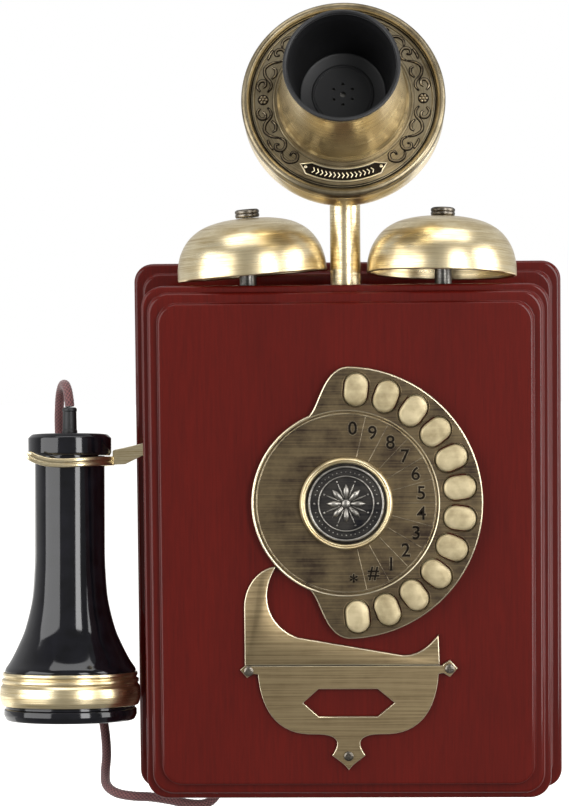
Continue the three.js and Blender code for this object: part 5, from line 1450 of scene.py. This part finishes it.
# ---- Receiver ---------------------------------------------------------------------------------
def make_handset(context):
    """Body, cap, brass band, ear cap and cord sleeve, all on the receiver's body."""
    place = receiver_frame()
    black = finish("gloss_black", gloss_black)
    neck, bell, length = 18.7, 35, 133
    seat = -114.7
    flare = through([(neck, -52), (19.0, -61), (20.3, -76.7), (23.8, -91.5), (27.2, -100), (31.4, -108.4),
                     (34.4, -113)], 6)
    body = turned("handset_body", [
        (neck, -GAP), (neck, -30), *flare, *eased([
            (34.8, -114), (bell, seat, 0.3), (34.4, seat - 0.2), (34.4, -length), (31.4, -length),
            (31.4, seat), (28, -108), (24, -100), (20.6, -91.5), (17, -76.7), (15.7, -61), (15.7, -GAP),
            (neck, -GAP)])], place, black, angle=25)
    belong(body, "handset", "black_gloss_plastic", "handset_body")
    cap = turned("handset_cap", eased([
        (3, -8), (15.4, -8), (15.4, 0), (21.6, 0, 0.4), (22.3, 1.2, 0.8), (22.3, 9.4, 1.4), (20.2, 11.4, 1.6),
        (17.5, 11.7, 0.5), (3, 11.7), (3, -8)]), place, black)
    belong(cap, "handset", "black_gloss_plastic", "handset_cap")
    top, bottom = seat - 0.6, -length + GAP
    band = turned("handset_band", eased([
        (34.7, top), (35.7, top, 0.3), (35.9, top - 1.4, 0.6), (35.2, top - 2.6, 0.2), (35.3, top - 3, 0.1),
        (36.5, top - 3.6, 0.5), (36.5, top - 5, 0.5), (35.9, top - 5.8, 0.1), (36.1, top - 6.2, 0.1),
        (37.1, top - 7.6, 1.5), (37.5, top - 12, 4), (37, bottom + 2.4, 1.6), (36.2, bottom, 0.5),
        (34.7, bottom), (34.7, top)]), place, finish("band_brass", brass, place))
    belong(band, "handset", "antique_brass", "handset_band")
    rear, lip = -length - GAP, -length - GAP - 7.5
    ear = turned("handset_ear_cap", eased([
        (3, rear + 1), (28, rear + 1), (28, rear + 5), (31, rear + 5), (31, rear), (34.4, rear),
        (34.4, rear - 0.9),
        (35.3, rear - 1.6, 0.8), (35.4, rear - 4.4, 1.6), (34, lip, 2), (25, lip, 1.5), (21, lip + 5.2, 2),
        (3, lip + 5.2), (3, rear + 1)]), place, black)
    for ring, count in ((0, 1), (6, 6), (12, 12)):
        for k in range(count if ring else 0):
            spot = polar(360 * k / count, ring, 0)
            cut(ear, turned("cutter", [(0, lip + 3), (0.9, lip + 3), (0.9, rear + 3), (0, rear + 3)],
                            place @ Matrix.Translation(spot * MM), sides=12))
    belong(ear, "handset", "black_gloss_plastic", "handset_ear_cap")
    sleeve_seat = 11.7 + GAP
    sleeve = turned("cord_sleeve", eased([
        (0, -2), (2.7, -2), (2.7, sleeve_seat), (4.1, sleeve_seat, 0.3), (4.1, sleeve_seat + 1.4, 0.4),
        (3.8, sleeve_seat + 2, 0.3), (3.6, sleeve_seat + 11.5, 0.4), (3.85, sleeve_seat + 12, 0.3),
        (3.85, sleeve_seat + 13.2, 0.4), (3.2, sleeve_seat + 13.9, 0.3), (0, sleeve_seat + 13.9)]),
        place, finish("satin_black", satin_black), sides=SMALL)
    belong(sleeve, "handset", "black_matte_plastic", "cord_sleeve")


# ---- Fittings and inner pieces ----------------------------------------------------------------
def make_fittings(context):
    """The cord's gland, the line socket and the hanger plate."""
    low, high = span("cord_gland")
    spot = middle("cord_gland")
    board = span("bottom_board")[0].z
    gland = turned("cord_gland", eased([
        (0, high.z), (3.5, high.z), (3.5, board - GAP), (6, board - GAP, 0.3), (6, board - 2, 0.5),
        (4.6, board - 2.6, 0.4), (4.2, board - 3.6, 0.2), (4.4, board - 4, 0.2), (3.4, low.z, 0.3),
        (0, low.z)]),
        Matrix.Translation((spot.x * MM, spot.y * MM, 0)), finish("satin_black", satin_black), sides=SMALL)
    belong(gland, "root", "black_matte_plastic", "cord_gland")

    low, high = span("line_jack")
    spot = middle("line_jack")
    jack = block("line_jack", low, high, 0.5, finish("satin_black", satin_black))
    cut(jack, hidden_block((spot.x - 5.2, spot.y - 3.7, low.z - 1), (spot.x + 5.2, spot.y + 3.7, low.z + 9)))
    cut(jack, hidden_block((spot.x - 2, spot.y - 5, low.z - 1), (spot.x + 2, spot.y - 3, low.z + 9)))
    contacts = [bead("contact", [(spot.x + dx, spot.y + 3.6, low.z + 1.5), (spot.x + dx,
        spot.y + 1.4, low.z + 7),
                                 (spot.x + dx, spot.y + 0.6, low.z + 9.2)], 0.25,
                     finish("satin_pale_brass", satin_pale_brass)) for dx in (-1.5, -0.5, 0.5, 1.5)]
    belong(join("line_jack", jack, *contacts), "root", "black_matte_plastic", "line_jack")

    low, high = span("hanger_plate")
    centre = middle("hanger_plate")
    round_end = arc(4.2, 119, 421, 36, (0, -4.5))
    slot = [Vector((2.1, 4.5)), Vector((-2.1, 4.5))]
    keyhole = slab("cutter", [*round_end, *slot], 8, Matrix.Translation((0, 0, -3 * MM)))
    width, height = high.x - low.x, high.z - low.z
    corners = eased([(-width / 2, -height / 2, 2), (width / 2, -height / 2, 2), (width / 2, height / 2, 2),
                     (-width / 2, height / 2, 2)], True)
    plate = slab("hanger_plate", corners, high.y - low.y, facing(high.y, centre.x, centre.z),
                 finish("satin_nickel_steel", satin_nickel_steel), edge=0.25, cutters=[keyhole])
    belong(plate, "root", "plated_steel", "hanger_plate")


def make_works(context):
    """The pieces inside the box keep their CAD shapes and take their real finishes."""
    steel = finish("satin_nickel_steel", satin_nickel_steel)
    black = finish("satin_black", satin_black)
    green = finish("green_solder_mask", green_solder_mask)
    wire = finish("winding_wire", winding_wire)
    finishes = {
        "ringer_frame": steel, "hook_bracket": steel, "hook_pin": steel, "microphone_capsule": steel,
        "receiver_capsule": steel, "hook_switch": black, "keypad_board": green, "circuit_board": green,
        "ringer_coil_left": wire, "ringer_coil_right": wire,
    }
    for name, material in finishes.items():
        mesh = frame["nodes"][name].data
        mesh.materials.clear()
        mesh.materials.append(material)


# ---- Operators, panel and registration --------------------------------------------------------
def operator(name, label, work):
    """An operator class that does one piece of work."""
    def execute(self, context):
        work(context)
        return {"FINISHED"}

    return type(f"TELEPHONE_OT_{name}", (bpy.types.Operator,), {
        "bl_idname": f"telephone.{name}", "bl_label": label, "__doc__": work.__doc__ or label,
        "execute": execute})


OPERATORS = [
    operator("stage", "Camera, floor and lights", make_stage),
    operator("cord", "Receiver cord", make_cord),
    operator("wood", "Wooden box", make_wood),
    operator("dial", "Dial plate", make_dial),
    operator("buttons", "Buttons", make_buttons),
    operator("medallion", "Bezel and medallion", make_medallion),
    operator("plates", "Ornamental plates", make_plates),
    operator("screws", "Plate screws", make_screws),
    operator("stem", "Stem", make_stem),
    operator("transmitter", "Transmitter", make_transmitter),
    operator("gongs", "Gongs", make_gongs),
    operator("clapper", "Clapper", make_clapper),
    operator("hook", "Hook lever", make_hook),
    operator("handset", "Receiver", make_handset),
    operator("fittings", "Gland, socket and hanger", make_fittings),
    operator("works", "Inner pieces", make_works),
]


class TELEPHONE_PT_panel(bpy.types.Panel):
    """Lists the steps that build the telephone, and its settings."""
    bl_label = "Wall telephone"
    bl_idname = "TELEPHONE_PT_panel"
    bl_space_type = "VIEW_3D"
    bl_region_type = "UI"
    bl_category = "Telephone"

    def draw(self, context):
        for step in OPERATORS:
            self.layout.operator(step.bl_idname)
        for group in GROUPS:
            settings = getattr(context.scene, group)
            for name in settings.__annotations__:
                self.layout.prop(settings, name)


GROUPS = {
    "telephone_wood": TelephoneWood,
    "telephone_metal": TelephoneMetal,
    "telephone_dial": TelephoneDial,
    "telephone_cord": TelephoneCord,
    "telephone_stage": TelephoneStage,
}
CLASSES = [*GROUPS.values(), *OPERATORS, TELEPHONE_PT_panel]


def register():
    for one in CLASSES:
        bpy.utils.register_class(one)
    for name, group in GROUPS.items():
        setattr(bpy.types.Scene, name, PointerProperty(type=group))


def unregister():
    for name in GROUPS:
        delattr(bpy.types.Scene, name)
    for one in reversed(CLASSES):
        bpy.utils.unregister_class(one)


def main():
    register()
    for step in OPERATORS:
        getattr(bpy.ops.telephone, step.bl_idname.split(".")[1])()


if __name__ == "__main__":
    main()
